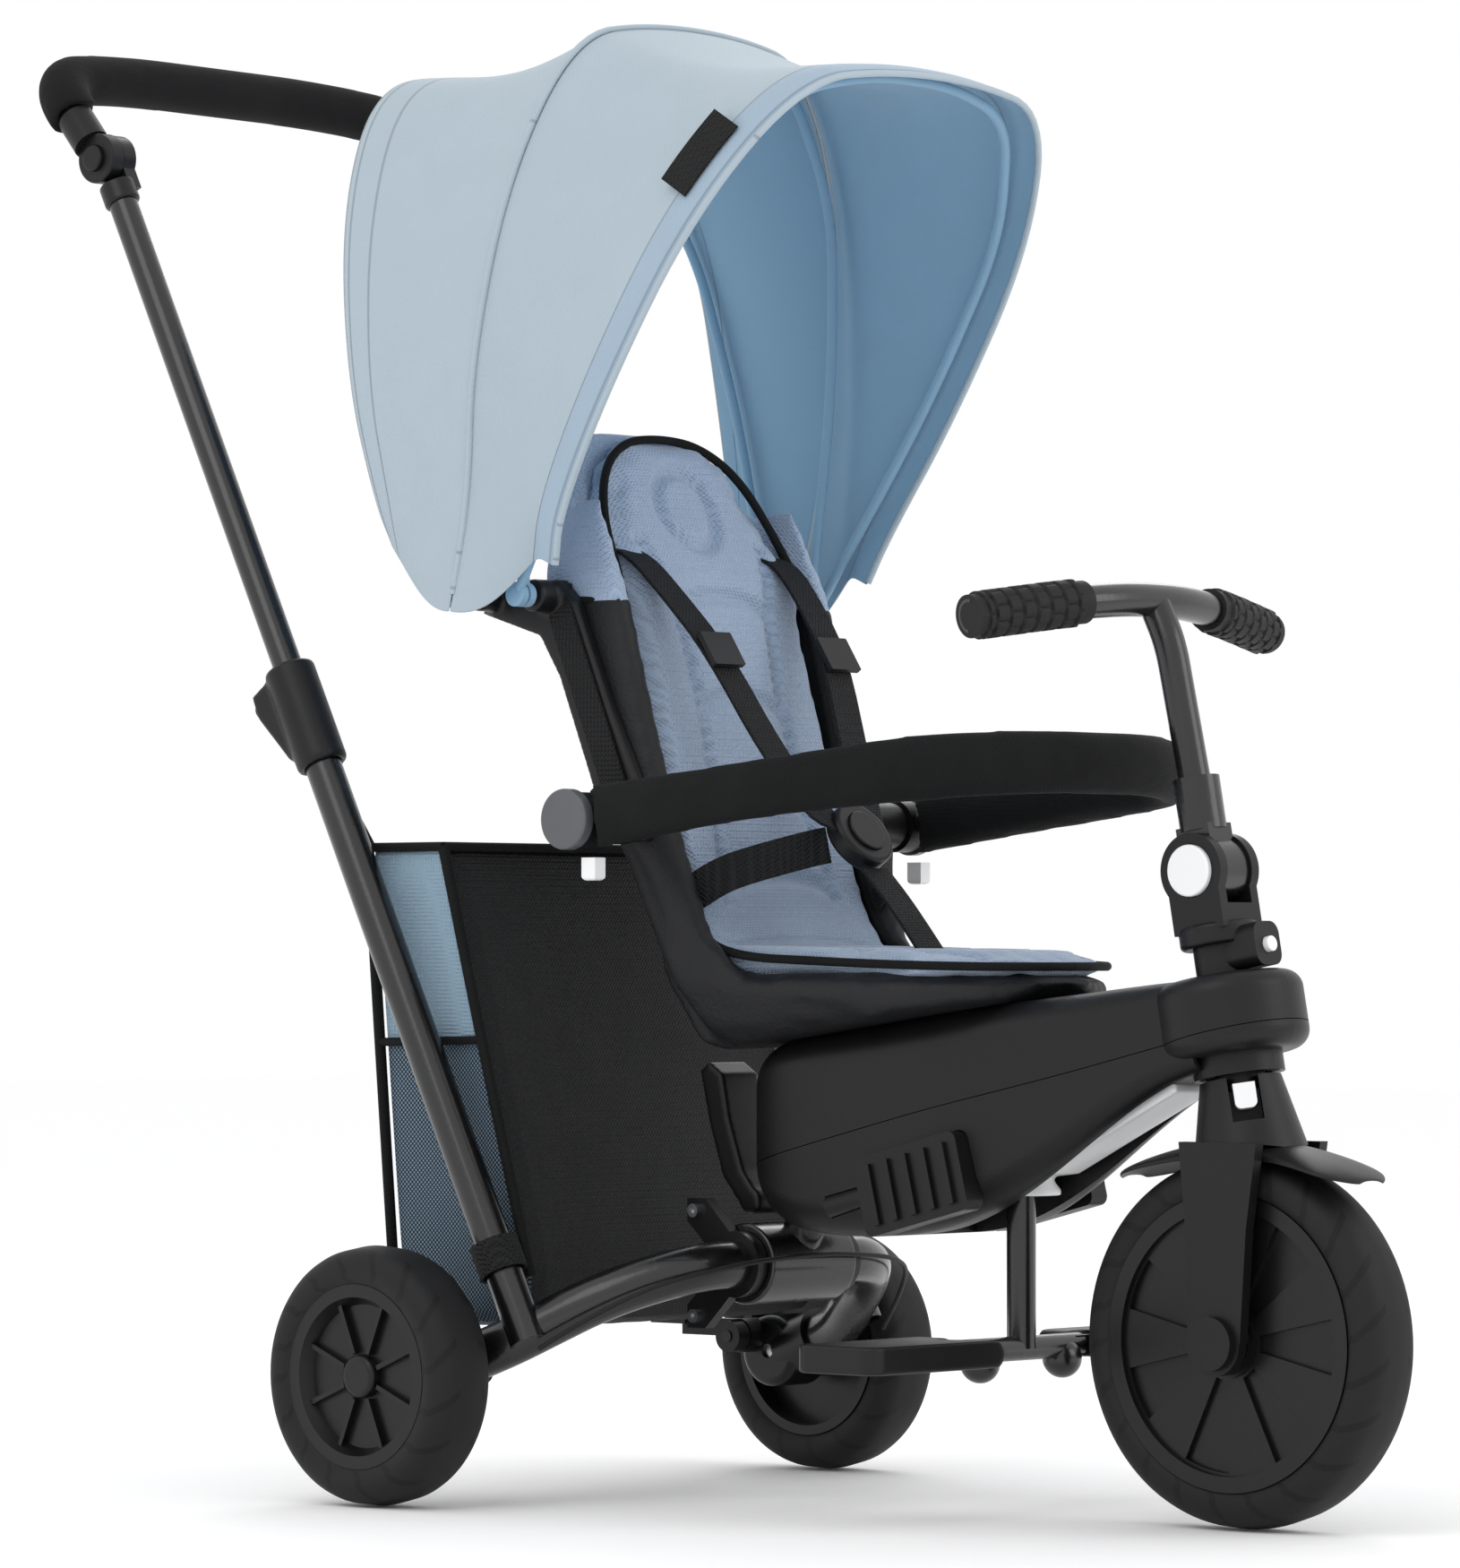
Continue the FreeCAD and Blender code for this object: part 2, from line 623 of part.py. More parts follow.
# ------------------------------------------------------------- seat, harness
def seat_front_outline():
    """The seat back seen from the front, as Y and Z."""
    return [(-66, 288), (66, 288), (96, 312), (109, 346), (109, 600), (100, 658),
            (74, 698), (40, 716), (-40, 716), (-74, 698), (-100, 658), (-109, 600),
            (-109, 346), (-96, 312)]


def seat_plan(inset):
    """The seat seen from above: straight sides and a rounded front."""
    half = [(-50, 109), (290, 109), (344, 97), (382, 68), (402, 24)]
    outline = [(x - inset, y) for x, y in half] + [(x - inset, -y) for x, y in reversed(half)]
    return Part.Face(polygon([vec(x, y, 280) for x, y in outline])).extrude(vec(0, 0, 500))


def seat_shell():
    """The padded bucket: a base, a leaning back and wings at both sides."""
    rim = [(388, 334), (406, 349), (204, 346), (178, 372), (155, 436), (132, 510),
           (108, 600), (76, 680), (48, 726)]
    middle = [(150, 300)] + rim + [(0, 726), (15, 664), (45, 604), (79, 500),
                                   (99, 420), (121, 345)]
    sides = [(172, 304)] + rim + [(23, 726), (29, 670), (39, 590), (72, 493),
                                  (101, 432), (147, 345)]
    body = fuse(side_prism(middle, -78, 78), side_prism(sides, -SEAT_HALF_W, SEAT_HALF_W))
    hollow = side_prism([(159, 348), (139, 376), (123, 432), (105, 500), (75, 606),
                         (47, 655), (23, 740), (200, 740), (300, 348)], -93, 93)
    body = body.cut(hollow).common(front_prism(seat_front_outline(), 0, 420))
    return body.common(seat_plan(0)).cut(seat_liner())


def seat_liner():
    """The quilted cloth liner: a seat panel and a back panel in one piece."""
    outline = [(404, 350), (161, 349), (141, 377), (125, 432), (107, 500), (77, 606),
               (49, 655), (25, 714), (41, 719), (64, 660), (92, 612), (121, 503),
               (139, 436), (155, 384), (171, 362), (404, 358)]
    return side_prism(outline, -91, 91).common(
        front_prism([(-91, 340), (91, 340), (91, 610), (84, 654), (66, 690), (36, 709),
                     (-36, 709), (-66, 690), (-84, 654), (-91, 610)], 0, 420)).common(
        seat_plan(2))


def ribbon(points, half_width, thickness, across):
    """A flat strap: straight stretches of a thin rectangle, end to end."""
    solids = []
    for a, b in zip(points, points[1:]):
        along = b - a
        length = along.Length
        along.normalize()
        side = across - along * across.dot(along)
        side.normalize()
        up = along.cross(side)
        corner = a - side * half_width - up * (thickness / 2)
        corners = [corner, corner + side * (2 * half_width)]
        corners += [corners[1] + up * thickness, corner + up * thickness]
        solids.append(Part.Face(polygon(corners)).extrude(along * length))
    return fuse(*solids) if len(solids) > 1 else solids[0]


SHOULDER_ROUTE = [vec(92, -74, 628), vec(146, -60, 563), vec(184, -42, 495),
                  vec(204, -26, 456)]
WAIST_ROUTE = [vec(166, -90, 404), vec(190, -76, 420), vec(206, -30, 432)]
CROTCH_ROUTE = [vec(290, 0, 361), vec(262, 0, 388), vec(238, 0, 416)]


def harness_straps():
    straps = []
    for route, across in ((SHOULDER_ROUTE, Y), (WAIST_ROUTE, Z)):
        strap = ribbon(route, 11, 2, across)
        straps += [strap, mirrored(strap)]
    straps.append(ribbon(CROTCH_ROUTE, 12.5, 2, Y))
    return Part.makeCompound(straps)


BUCKLE = vec(224, 0, 440)
BUCKLE_AXIS = vec(0.83, 0, 0.56)


def harness_hardware():
    """The round buckle and the slide adjusters on the shoulder straps."""
    axis = vec(*BUCKLE_AXIS)
    body = cyl(BUCKLE - axis * 8, axis, 24, 14)
    body = round_edges(body, 3, lambda e: is_circle(e, 24))
    body = body.cut(cyl(BUCKLE, axis, 15 + FREE_GAP, 12))
    slider = box(-13, 13, -15, 15, 1.4, 5)
    slider = round_edges(slider, 1.2, lambda e: e.Length < 4)
    slider.rotate(vec(0, 0, 0), Y, 57)
    slider.translate(vec(151, -59, 562))
    return Part.makeCompound([body, slider, mirrored(slider)])


def buckle_button():
    axis = vec(*BUCKLE_AXIS)
    axis.normalize()
    button = cyl(BUCKLE + axis * 3.2, axis, 15, 5)
    return round_edges(button, 1, lambda e: is_circle(e, 15))


def seat_carriers():
    """Side plates on the seat that carry the safety bar's and canopy's pivots."""
    outline = [(108, 436), (140, 436), (140, 462), (108, 526), (78, 596), (62, 611), (0, 611),
               (-6, 590), (46, 574), (64, 546), (92, 478)]
    plate = side_prism(outline, -121, -SEAT_HALF_W - 0.3)
    bar_post = cyl(vec(BAR_PIVOT_X, -153, BAR_PIVOT_Z), Y, 16, 34)
    bar_pin = cyl(vec(BAR_PIVOT_X, -168, BAR_PIVOT_Z), Y, 5, 20)
    canopy_pin = cyl(vec(CANOPY_X, -144.6, CANOPY_Z), Y, 4, 8)
    canopy_post = cyl(vec(CANOPY_X, -138, CANOPY_Z), Y, 11, 19)
    rear_pin = cyl(vec(BOW_FOOT_X["rear"], -160, CANOPY_Z), Y, 4, 24)
    rear_post = cyl(vec(BOW_FOOT_X["rear"], -138, CANOPY_Z), Y, 9, 19)
    return pair(fuse(plate, bar_post, bar_pin, canopy_pin, canopy_post, rear_pin, rear_post))


# -------------------------------------------------------------------- canopy
def bow_arch(name, offset=0.0):
    """Half of an upright arch, from its foot, as Y and the height over the foot."""
    spread = BOW_Y[name] + offset
    top = BOW_TOP[name] + offset
    return [(spread, 0), (spread + 15, 0.4 * top), (spread + 8, 0.74 * top),
            (spread - 42, 0.955 * top), (40, top)]


def leaned(shape, name, trim=0.0):
    """A piece built upright at a bow's foot, turned to the bow's angle."""
    placed = shape.copy()
    placed.rotate(vec(0, 0, 0), Y, BOW_ANGLES[name] + trim)
    placed.translate(vec(BOW_FOOT_X[name], 0, CANOPY_Z))
    return placed


def canopy_bow(name):
    """An arched canopy rib with an eye at each foot that turns on the pivot pin."""
    spread = BOW_Y[name]
    bow = rod(both_ways([(0, y, z) for y, z in bow_arch(name)]), BOW_R)
    for side in (-1, 1):
        bow = fuse(bow, cyl(vec(0, side * spread - 2.8, 0), Y, 8, 5.6))
    bow = bow.cut(cyl(vec(0, -200, 0), Y, 4 + RUNNING_FIT, 400))
    if name == "middle":
        stub = cyl(vec(0, -154.5, 0), Y, 4, 9.5)
        rim = ring(vec(0, -146.8, 0), Y, 8, 4, 1.8)
        bow = fuse(bow, stub, mirrored(stub), rim, mirrored(rim))
    return leaned(bow, name)


def panel_edge(name, trim):
    """The cloth's edge over one bow: a thin arched strip, as a closed wire."""
    inner, outer = [], []
    for wall, offset in ((inner, 5.0), (outer, 7.0)):
        half = bow_arch(name, offset)
        half[0] = (half[0][0] + 3.2, 32)
        wall += both_ways([(0, y, z) for y, z in half])
    edges = bent_path(inner).Edges + bent_path(outer).Edges
    edges += [Part.LineSegment(inner[n], outer[n]).toShape() for n in (0, -1)]
    return leaned(Part.Wire(Part.__sortEdges__(edges)), name, trim)


def canopy_panel(first, last):
    """The cloth between two bows, stretched straight from one to the other."""
    return Part.makeLoft([panel_edge(first, 0.2), panel_edge(last, -0.2)], True, True)


# ---------------------------------------------------------------- safety bar
def bar_height(x):
    return BAR_PIVOT_Z + 0.115 * (x - BAR_PIVOT_X)


def safety_bar_route():
    half = [(BAR_PIVOT_X, 163), (282, 163), (388, 132), (424, 56)]
    return both_ways([(x, y, bar_height(x)) for x, y in half])


def bar_eye_space(radius):
    return cyl(vec(BAR_PIVOT_X, -300, BAR_PIVOT_Z), Y, radius, 600)


def safety_bar_core():
    """The moulded U-shaped core, with an eye at each end for the pivot pin."""
    core = rod(safety_bar_route(), 7)
    for low in (-171.5, 154):
        core = fuse(core, cyl(vec(BAR_PIVOT_X, low, BAR_PIVOT_Z), Y, 18, 17.5))
    return core.cut(bar_eye_space(5 + RUNNING_FIT))


def safety_bar_cover():
    """The padded cloth cover round the core."""
    route = safety_bar_route()
    ahead = route[1] - route[0]
    oval = Part.Ellipse(vec(0, 0, 0), 21, 14).toShape()
    oval.rotate(vec(0, 0, 0), Y, 90)
    oval.rotate(vec(0, 0, 0), Y, -math.degrees(math.atan2(ahead.z, ahead.x)))
    oval.translate(route[0])
    cover = swept(bent_path(route), Part.Wire(oval))
    return cover.cut(rod(route, 7)).cut(bar_eye_space(24))


def safety_bar_caps():
    cap = cyl(vec(BAR_PIVOT_X, -180, BAR_PIVOT_Z), Y, 20, 8.3)
    cap = round_edges(cap, 2, lambda e: is_circle(e, 20) and e.CenterOfMass.y < -179)
    return pair(cap)


def release_tab():
    """The tongue under the pivot that frees the safety bar."""
    tab = box(BAR_PIVOT_X + 8, BAR_PIVOT_X + 20, -170, -160, BAR_PIVOT_Z - 40,
              BAR_PIVOT_Z - 25)
    return round_edges(tab, 3, lambda e: e.CenterOfMass.z < BAR_PIVOT_Z - 39)


# ------------------------------------------------------------------ steering
GUARD_R = 195.0                # the guard is flatter than the wheel
GUARD_Z = FRONT_TYRE_R + 127.0 - GUARD_R


def wheel_space():
    """The room that the wheel and its guard take between the fork legs."""
    wheel = cyl(vec(WHEELBASE, -29, FRONT_TYRE_R), Y, FRONT_TYRE_R + 4, 58)
    return wheel.fuse(cyl(vec(WHEELBASE, -29, GUARD_Z), Y, GUARD_R, 58))


def fork():
    """A conical crown and two flat legs that end in round eyes."""
    crown = on_steering(Part.makeCone(37, 26, 50, vec(0, 0, -47), Z))
    legs = []
    for low in (-FORK_OUT, FORK_IN):
        high = low + FORK_OUT - FORK_IN
        leg = side_prism([(519, 244), (580, 244), (572, 190), (567, 118), (526, 118),
                          (524, 190)], low, high)
        legs.append(leg)
        legs.append(cyl(vec(WHEELBASE, low, FRONT_TYRE_R), Y, 20.5, high - low))
    whole = fuse(crown, *legs).cut(wheel_space())
    whole = whole.cut(cyl(vec(WHEELBASE, -60, FRONT_TYRE_R), Y, AXLE_R, 120))
    whole = whole.cut(on_steering(cyl(vec(0, 0, -5), Z, COLUMN_R, 20)))
    return whole.cut(clutch_pocket())


CLUTCH_TURN = 130.0            # the tab stands at the front, on the right


def clutch_pocket():
    pocket = box(-40, -12, -10, 10, -26, 4)
    pocket.rotate(vec(0, 0, 0), Z, CLUTCH_TURN)
    return on_steering(pocket)


def clutch_tab():
    """The tab that couples the fork to the handlebar."""
    tab = box(-31, -18, -7, 7, -18, -2)
    tab = round_edges(tab, 4, lambda e: abs(e.tangentAt(e.FirstParameter).x) > 0.9
                      and e.CenterOfMass.z < -15)
    tab.rotate(vec(0, 0, 0), Z, CLUTCH_TURN)
    return on_steering(tab)


def mudguard():
    """A guard over the front wheel with a point at each end."""
    band = ring(vec(WHEELBASE, -33, GUARD_Z), Y, GUARD_R, GUARD_R - 3, 66)
    points = [(452, 0), (484, -36), (612, -36), (646, 0), (612, 36), (484, 36)]
    outline = Part.Face(polygon([vec(x, y, 190) for x, y in points]))
    guard = band.common(outline.extrude(vec(0, 0, 80))).cut(fork())
    return max(guard.Solids, key=lambda solid: solid.Volume)


def steering_column():
    """The column, its collar, the lock's capsule and the fold joint's cheeks."""
    column = cyl(vec(0, 0, -5), Z, COLUMN_R, 105)
    collar = cyl(vec(0, 0, 88), Z, 25.5, 14)
    collar = round_edges(collar, 3, lambda e: is_circle(e, 25.5))
    neck = cyl(vec(0, 0, 70), Z, 18, 18)
    block = box(-20, 20, -20, 20, 98, 113)
    capsule = box(12, 37, -13, 13, 70, 98)
    capsule = round_edges(capsule, 8, lambda e: abs(e.tangentAt(e.FirstParameter).x) > 0.9)
    cheeks = []
    for low in (-20, 12.5):
        cheeks.append(cyl(vec(0, low, BAR_FOLD_S), Y, 24, 7.5))
        cheeks.append(box(-20, 20, low, low + 7.5, 108, BAR_FOLD_S))
    pin = cyl(vec(0, -14, BAR_FOLD_S), Y, 4, 34)
    whole = fuse(column, collar, neck, block, capsule, pin, *cheeks)
    whole = whole.cut(cyl(vec(0, -21, BAR_FOLD_S), Y, 16.5 + FREE_GAP, 5.5))
    return on_steering(whole.cut(cyl(vec(31, 0, 83), X, 5 + FREE_GAP, 10)))


def steering_lock_button():
    button = cyl(vec(34, 0, 83), X, 5, 7)
    return on_steering(round_edges(button, 1, lambda e: e.CenterOfMass.x > 40))


def bar_fold_button():
    button = cyl(vec(0, -23.5, BAR_FOLD_S), Y, 16.5, 5)
    return on_steering(round_edges(button, 1.5, lambda e: e.CenterOfMass.y < -23))


def front_axle():
    """The axle with a round cap on each end, outside the fork legs."""
    shaft = cyl(vec(WHEELBASE, -40, FRONT_TYRE_R), Y, AXLE_R, 80)
    caps = []
    for low in (-42.5, FORK_OUT):
        caps.append(cyl(vec(WHEELBASE, low, FRONT_TYRE_R), Y, 17, 5))
    return fuse(shaft, *caps)


# ----------------------------------------------------------------- handlebar
BAR_HALF = [(444, GRIP_OUT, 573), (463, 74, 584), (470, 26, 588)]


def stem():
    """The stem tube and the moulded sleeve that turns in the fold joint."""
    start = steering_point(165)
    tube = rod([start, vec(484, 0, 560), vec(470, 0, 588)], STEM_R)
    sleeve = on_steering(cyl(vec(0, 0, 163), Z, 15, 34))
    barrel = on_steering(cyl(vec(0, -12, BAR_FOLD_S), Y, 22, 24))
    neck = on_steering(box(-13, 13, -12, 12, BAR_FOLD_S, 166))
    whole = fuse(tube, sleeve, barrel, neck)
    whole = whole.cut(on_steering(cyl(vec(0, -30, BAR_FOLD_S), Y, 4 + RUNNING_FIT, 60)))
    return whole.cut(cyl(vec(470, -26, 588), Y, BAR_R, 52))


def handlebar_tube():
    return pipe(both_ways(BAR_HALF), BAR_R, TUBE_WALL)


def handlebar_grips():
    route = both_ways(BAR_HALF)
    grip = rod(route, GRIP_R).common(box(400, 520, -200, -GRIP_IN, 520, 640))
    end = cyl(route[0], route[0] - route[1], GRIP_R, 5)
    end = round_edges(end, 3, lambda e: is_circle(e, GRIP_R) and e.CenterOfMass.y
                      < route[0].y - 3)
    return pair(fuse(grip.cut(rod(route, BAR_R)), end))


# -------------------------------------------------------------------- export
def all_parts():
    return {
        "rear_arc_tube": rear_arc_tube(),
        "push_tubes_lower": push_tubes_lower(),
        "wheel_knuckles": wheel_knuckles(),
        "rear_axles": rear_axles(),
        "hinge_clamp": hinge_clamp(),
        "clamp_screws": clamp_screws(),
        "tube_collars": tube_collars(),
        "collar_button_right": collar_button(),
        "collar_button_left": mirrored(collar_button()),
        "storage_bag": storage_bag(),
        "brake_cable": brake_cable(),
        "brake_lever": brake_lever(),
        "tyre_rear_left": rear_tyre(),
        "tyre_rear_right": mirrored(rear_tyre()),
        "rim_rear_left": rear_rim(),
        "rim_rear_right": mirrored(rear_rim()),
        "tyre_front": front_tyre(),
        "rim_front": front_rim(),
        "push_tubes_upper": push_tubes_upper(),
        "handle_sockets": handle_sockets(),
        "handle_tube": handle_tube(),
        "handle_foam": handle_foam(),
        "handle_button_right": handle_button(),
        "handle_button_left": mirrored(handle_button()),
        "main_frame_tube": main_frame_tube(),
        "chassis_upper_shell": chassis_upper_shell(),
        "chassis_lower_shell": chassis_lower_shell(),
        "headset_bushes": headset_bushes(),
        "underside_plate": underside_plate(),
        "stowed_pedals": stowed_pedals(),
        "footrest_post": footrest_post(),
        "footrest_pad_right": footrest_pad(),
        "footrest_pad_left": mirrored(footrest_pad()),
        "fold_lever": fold_lever(),
        "seat_shell": seat_shell(),
        "seat_liner": seat_liner(),
        "harness_straps": harness_straps(),
        "harness_hardware": harness_hardware(),
        "buckle_button": buckle_button(),
        "seat_carriers": seat_carriers(),
        "canopy_bow_rear": canopy_bow("rear"),
        "canopy_bow_middle": canopy_bow("middle"),
        "canopy_bow_front": canopy_bow("front"),
        "canopy_panel_rear": canopy_panel("rear", "middle"),
        "canopy_panel_front": canopy_panel("middle", "front"),
        "safety_bar_core": safety_bar_core(),
        "safety_bar_cover": safety_bar_cover(),
        "safety_bar_caps": safety_bar_caps(),
        "release_tab_right": release_tab(),
        "release_tab_left": mirrored(release_tab()),
        "fork": fork(),
        "mudguard": mudguard(),
        "steering_column": steering_column(),
        "steering_lock_button": steering_lock_button(),
        "bar_fold_button": bar_fold_button(),
        "clutch_tab": clutch_tab(),
        "front_axle": front_axle(),
        "stem": stem(),
        "handlebar_tube": handlebar_tube(),
        "handlebar_grips": handlebar_grips(),
    }


def main():
    os.makedirs("parts", exist_ok=True)
    whole = FreeCAD.BoundBox()
    for name, shape in all_parts().items():
        shape.translate(vec(-X_MIDDLE, 0, 0))
        shape.exportStep(f"parts/{name}.step")
        whole.add(shape.BoundBox)
        solids = len(shape.Solids)
        print(f"{name:24s} {shape.isValid()!s:5s} solids {solids} {shape.Volume:10.0f} mm3")
    print("whole", whole)


main()
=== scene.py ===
import json
import math

import bmesh
import bpy
from bpy.props import FloatProperty, PointerProperty, StringProperty
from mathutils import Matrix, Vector
from mathutils.kdtree import KDTree


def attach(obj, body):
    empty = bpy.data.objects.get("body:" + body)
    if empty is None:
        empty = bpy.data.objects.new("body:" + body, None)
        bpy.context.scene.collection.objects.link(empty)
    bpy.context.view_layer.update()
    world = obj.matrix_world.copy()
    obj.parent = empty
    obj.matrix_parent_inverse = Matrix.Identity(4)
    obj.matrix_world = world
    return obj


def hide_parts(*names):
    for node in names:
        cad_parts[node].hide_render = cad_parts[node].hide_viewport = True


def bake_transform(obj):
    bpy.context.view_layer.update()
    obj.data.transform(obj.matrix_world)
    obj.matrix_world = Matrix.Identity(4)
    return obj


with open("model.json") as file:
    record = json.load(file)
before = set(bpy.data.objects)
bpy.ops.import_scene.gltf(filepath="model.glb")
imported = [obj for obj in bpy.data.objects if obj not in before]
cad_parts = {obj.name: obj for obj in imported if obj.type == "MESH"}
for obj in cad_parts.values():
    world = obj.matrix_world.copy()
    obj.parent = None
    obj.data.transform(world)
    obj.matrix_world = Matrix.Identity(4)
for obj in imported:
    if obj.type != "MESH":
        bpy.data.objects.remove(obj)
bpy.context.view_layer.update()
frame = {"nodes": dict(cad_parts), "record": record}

bl_info = {
    "name": "Folding push tricycle",
    "version": (1, 0, 0),
    "blender": (4, 5, 0),
    "location": "3D View > Sidebar > Tricycle",
    "description": "Cloth, pads, tyres, trim and finishes for a folding push tricycle",
    "category": "Add Mesh",
}

# Points are given in millimetres from the rear axle: X forward, Y to the rider's left, Z up.
X_MIDDLE = 130.35


def at(x, y, z):
    return Vector((x - X_MIDDLE, y, z)) / 1000


# ------------------------------------------------------------ user's settings
def colour_setting(name, description, default):
    return StringProperty(name=name, description=description, default=default)


def length_setting(name, description, default):
    return FloatProperty(name=name, description=description, default=default, min=0,
                         subtype="DISTANCE", unit="LENGTH")


class TricycleColours(bpy.types.PropertyGroup):
    canopy: colour_setting("Canopy", "Outside of the canopy cloth, as sRGB hex", "#A8B7C1")
    # The inside is painted a deeper blue that stands in for light shining through the canopy cloth.
    lit_through_inside: colour_setting("Lining", "Inside of the canopy cloth, as sRGB hex", "#82A8C3")
    liner: colour_setting("Liner", "Quilted seat liner, as sRGB hex", "#9CAEC6")
    side: colour_setting("Bag side", "Upper side panel of the bag, as sRGB hex", "#8AA6BA")
    black: colour_setting("Black cloth", "Seat shell, bar cover and bag, as sRGB hex", "#121316")
    plastic: colour_setting("Plastic", "Moulded shells and rims, as sRGB hex", "#111113")
    paint: colour_setting("Paint", "Coated steel tubes, as sRGB hex", "#0D0D0F")
    rubber: colour_setting("Rubber", "Tyres and grips, as sRGB hex", "#161618")


class TricycleSizes(bpy.types.PropertyGroup):
    scallop: length_setting("Scallop", "Sag of the canopy cloth between ribs", 0.013)
    quilt: length_setting("Quilting", "Depth of the liner's sewn channels", 0.006)
    puff: length_setting("Puff", "Most that a pad swells", 0.006)
    tread: length_setting("Grip relief", "Depth of the handlebar grips' pattern", 0.0016)


# ------------------------------------------------------------------ materials
def linear(code):
    """An sRGB hex colour as linear RGBA."""
    parts = [int(code[n:n + 2], 16) / 255 for n in (1, 3, 5)]
    return [c / 12.92 if c <= 0.04045 else ((c + 0.055) / 1.055) ** 2.4
            for c in parts] + [1]


def add(tree, kind, links=None, **settings):
    """A node with its settings; links maps inputs to sockets or to plain values."""
    node = tree.nodes.new(kind)
    for name, value in settings.items():
        setattr(node, name, value)
    for name, value in (links or {}).items():
        socket = node.inputs[name]
        if isinstance(value, bpy.types.NodeSocket):
            tree.links.new(value, socket)
        else:
            socket.default_value = value
    return node


def maths(tree, operation, *values):
    links = dict(enumerate(values))
    return add(tree, "ShaderNodeMath", links, operation=operation).outputs[0]


def woven(thread, uv=None):
    """Over-and-under threads, a given number of metres apart."""
    def height(tree, place):
        axes = add(tree, "ShaderNodeSeparateXYZ", {0: place}).outputs
        turn = math.pi / thread
        waves = [maths(tree, "SINE", maths(tree, "MULTIPLY", axis, turn)) for axis in axes]
        if uv:
            return maths(tree, "MULTIPLY", waves[0], waves[1])
        both = maths(tree, "MULTIPLY", waves[0], waves[2])
        return maths(tree, "ADD", both, maths(tree, "MULTIPLY", waves[1], waves[2]))
    return height


def grained(size):
    """The rounded pebbles of a moulded or coated surface."""
    def height(tree, place):
        return add(tree, "ShaderNodeTexVoronoi", {"Vector": place, "Scale": 1 / size},
                   feature="SMOOTH_F1").outputs["Distance"]
    return height


def speckled(size):
    def height(tree, place):
        return add(tree, "ShaderNodeTexNoise", {"Vector": place, "Scale": 1 / size,
                                                "Detail": 4}).outputs["Fac"]
    return height


def chevrons(pitch, width, half):
    """Shallow V-shaped cuts round a tyre: UV runs along the tread and across it."""
    def height(tree, place):
        axes = add(tree, "ShaderNodeSeparateXYZ", {0: place}).outputs
        across = maths(tree, "ABSOLUTE", maths(tree, "SUBTRACT", axes[1], half))
        slanted = maths(tree, "ADD", axes[0], maths(tree, "MULTIPLY", across, 0.8))
        inside = maths(tree, "PINGPONG", slanted, pitch / 2)
        cut = maths(tree, "LESS_THAN", inside, width / 2)
        outer = maths(tree, "GREATER_THAN", across, half * 0.2)
        rim = maths(tree, "LESS_THAN", across, half * 0.80)
        cut = maths(tree, "MULTIPLY", cut, maths(tree, "MULTIPLY", outer, rim))
        return maths(tree, "SUBTRACT", 1.0, cut)
    return height


def hemmed(thread, seams):
    """A weave with sewn lines at given distances from the sheet's own edge, in metres."""
    def height(tree, place):
        weave = woven(thread, uv=True)(tree, place)
        axes = add(tree, "ShaderNodeSeparateXYZ", {0: place}).outputs
        total = maths(tree, "ADD", maths(tree, "MULTIPLY", weave, 0.1), 0.9)
        for seam in seams:
            off = maths(tree, "ABSOLUTE", maths(tree, "SUBTRACT", axes[1], seam))
            line = maths(tree, "SMOOTH_MIN", maths(tree, "DIVIDE", off, 0.0016), 1.0, 0.3)
            total = maths(tree, "MULTIPLY", total, line)
        return total
    return height


def finish(name, code, roughness, relief, depth, mottle=0.12, mottle_size=0.03,
           painted_groove_shade=0.0, place="Object", **shader):
    """A procedural finish: mottled colour, uneven gloss and a relief."""
    material = bpy.data.materials.new(name)
    material.use_nodes = True
    tree = material.node_tree
    surface = tree.nodes["Principled BSDF"]
    spot = add(tree, "ShaderNodeTexCoord").outputs[place]
    solid = add(tree, "ShaderNodeTexCoord").outputs["Object"]
    height = relief(tree, spot)
    cloud = add(tree, "ShaderNodeTexNoise", {"Vector": solid, "Scale": 1 / mottle_size,
                                             "Detail": 3}).outputs["Fac"]
    base = linear(code)
    dark = [c * (1 - mottle) for c in base[:3]] + [1]
    light = [min(1, c * (1 + mottle)) for c in base[:3]] + [1]
    colour = add(tree, "ShaderNodeMix", {"Factor": cloud}, data_type="RGBA")
    colour.inputs[6].default_value, colour.inputs[7].default_value = dark, light
    out = colour.outputs[2]
    # Painted shade: the colour is darkened where the relief is low, in cuts and sewn lines.
    if painted_groove_shade:
        darker = add(tree, "ShaderNodeMix", data_type="RGBA", blend_type="MULTIPLY")
        low = maths(tree, "MULTIPLY", maths(tree, "SUBTRACT", 1.0, height), painted_groove_shade)
        tree.links.new(low, darker.inputs[0])
        tree.links.new(out, darker.inputs[6])
        darker.inputs[7].default_value = (0.25, 0.25, 0.28, 1)
        out = darker.outputs[2]
    tree.links.new(out, surface.inputs["Base Color"])
    gloss = add(tree, "ShaderNodeMapRange", {"Value": cloud, "To Min": roughness * 0.88,
                                             "To Max": min(1, roughness * 1.12)})
    tree.links.new(gloss.outputs[0], surface.inputs["Roughness"])
    bump = add(tree, "ShaderNodeBump", {"Height": height, "Distance": depth,
                                        "Strength": 1.0})
    tree.links.new(bump.outputs[0], surface.inputs["Normal"])
    for socket, value in shader.items():
        surface.inputs[socket.replace("_", " ")].default_value = value
    return material


NET_HOLE = 0.42                # how much of the net is open


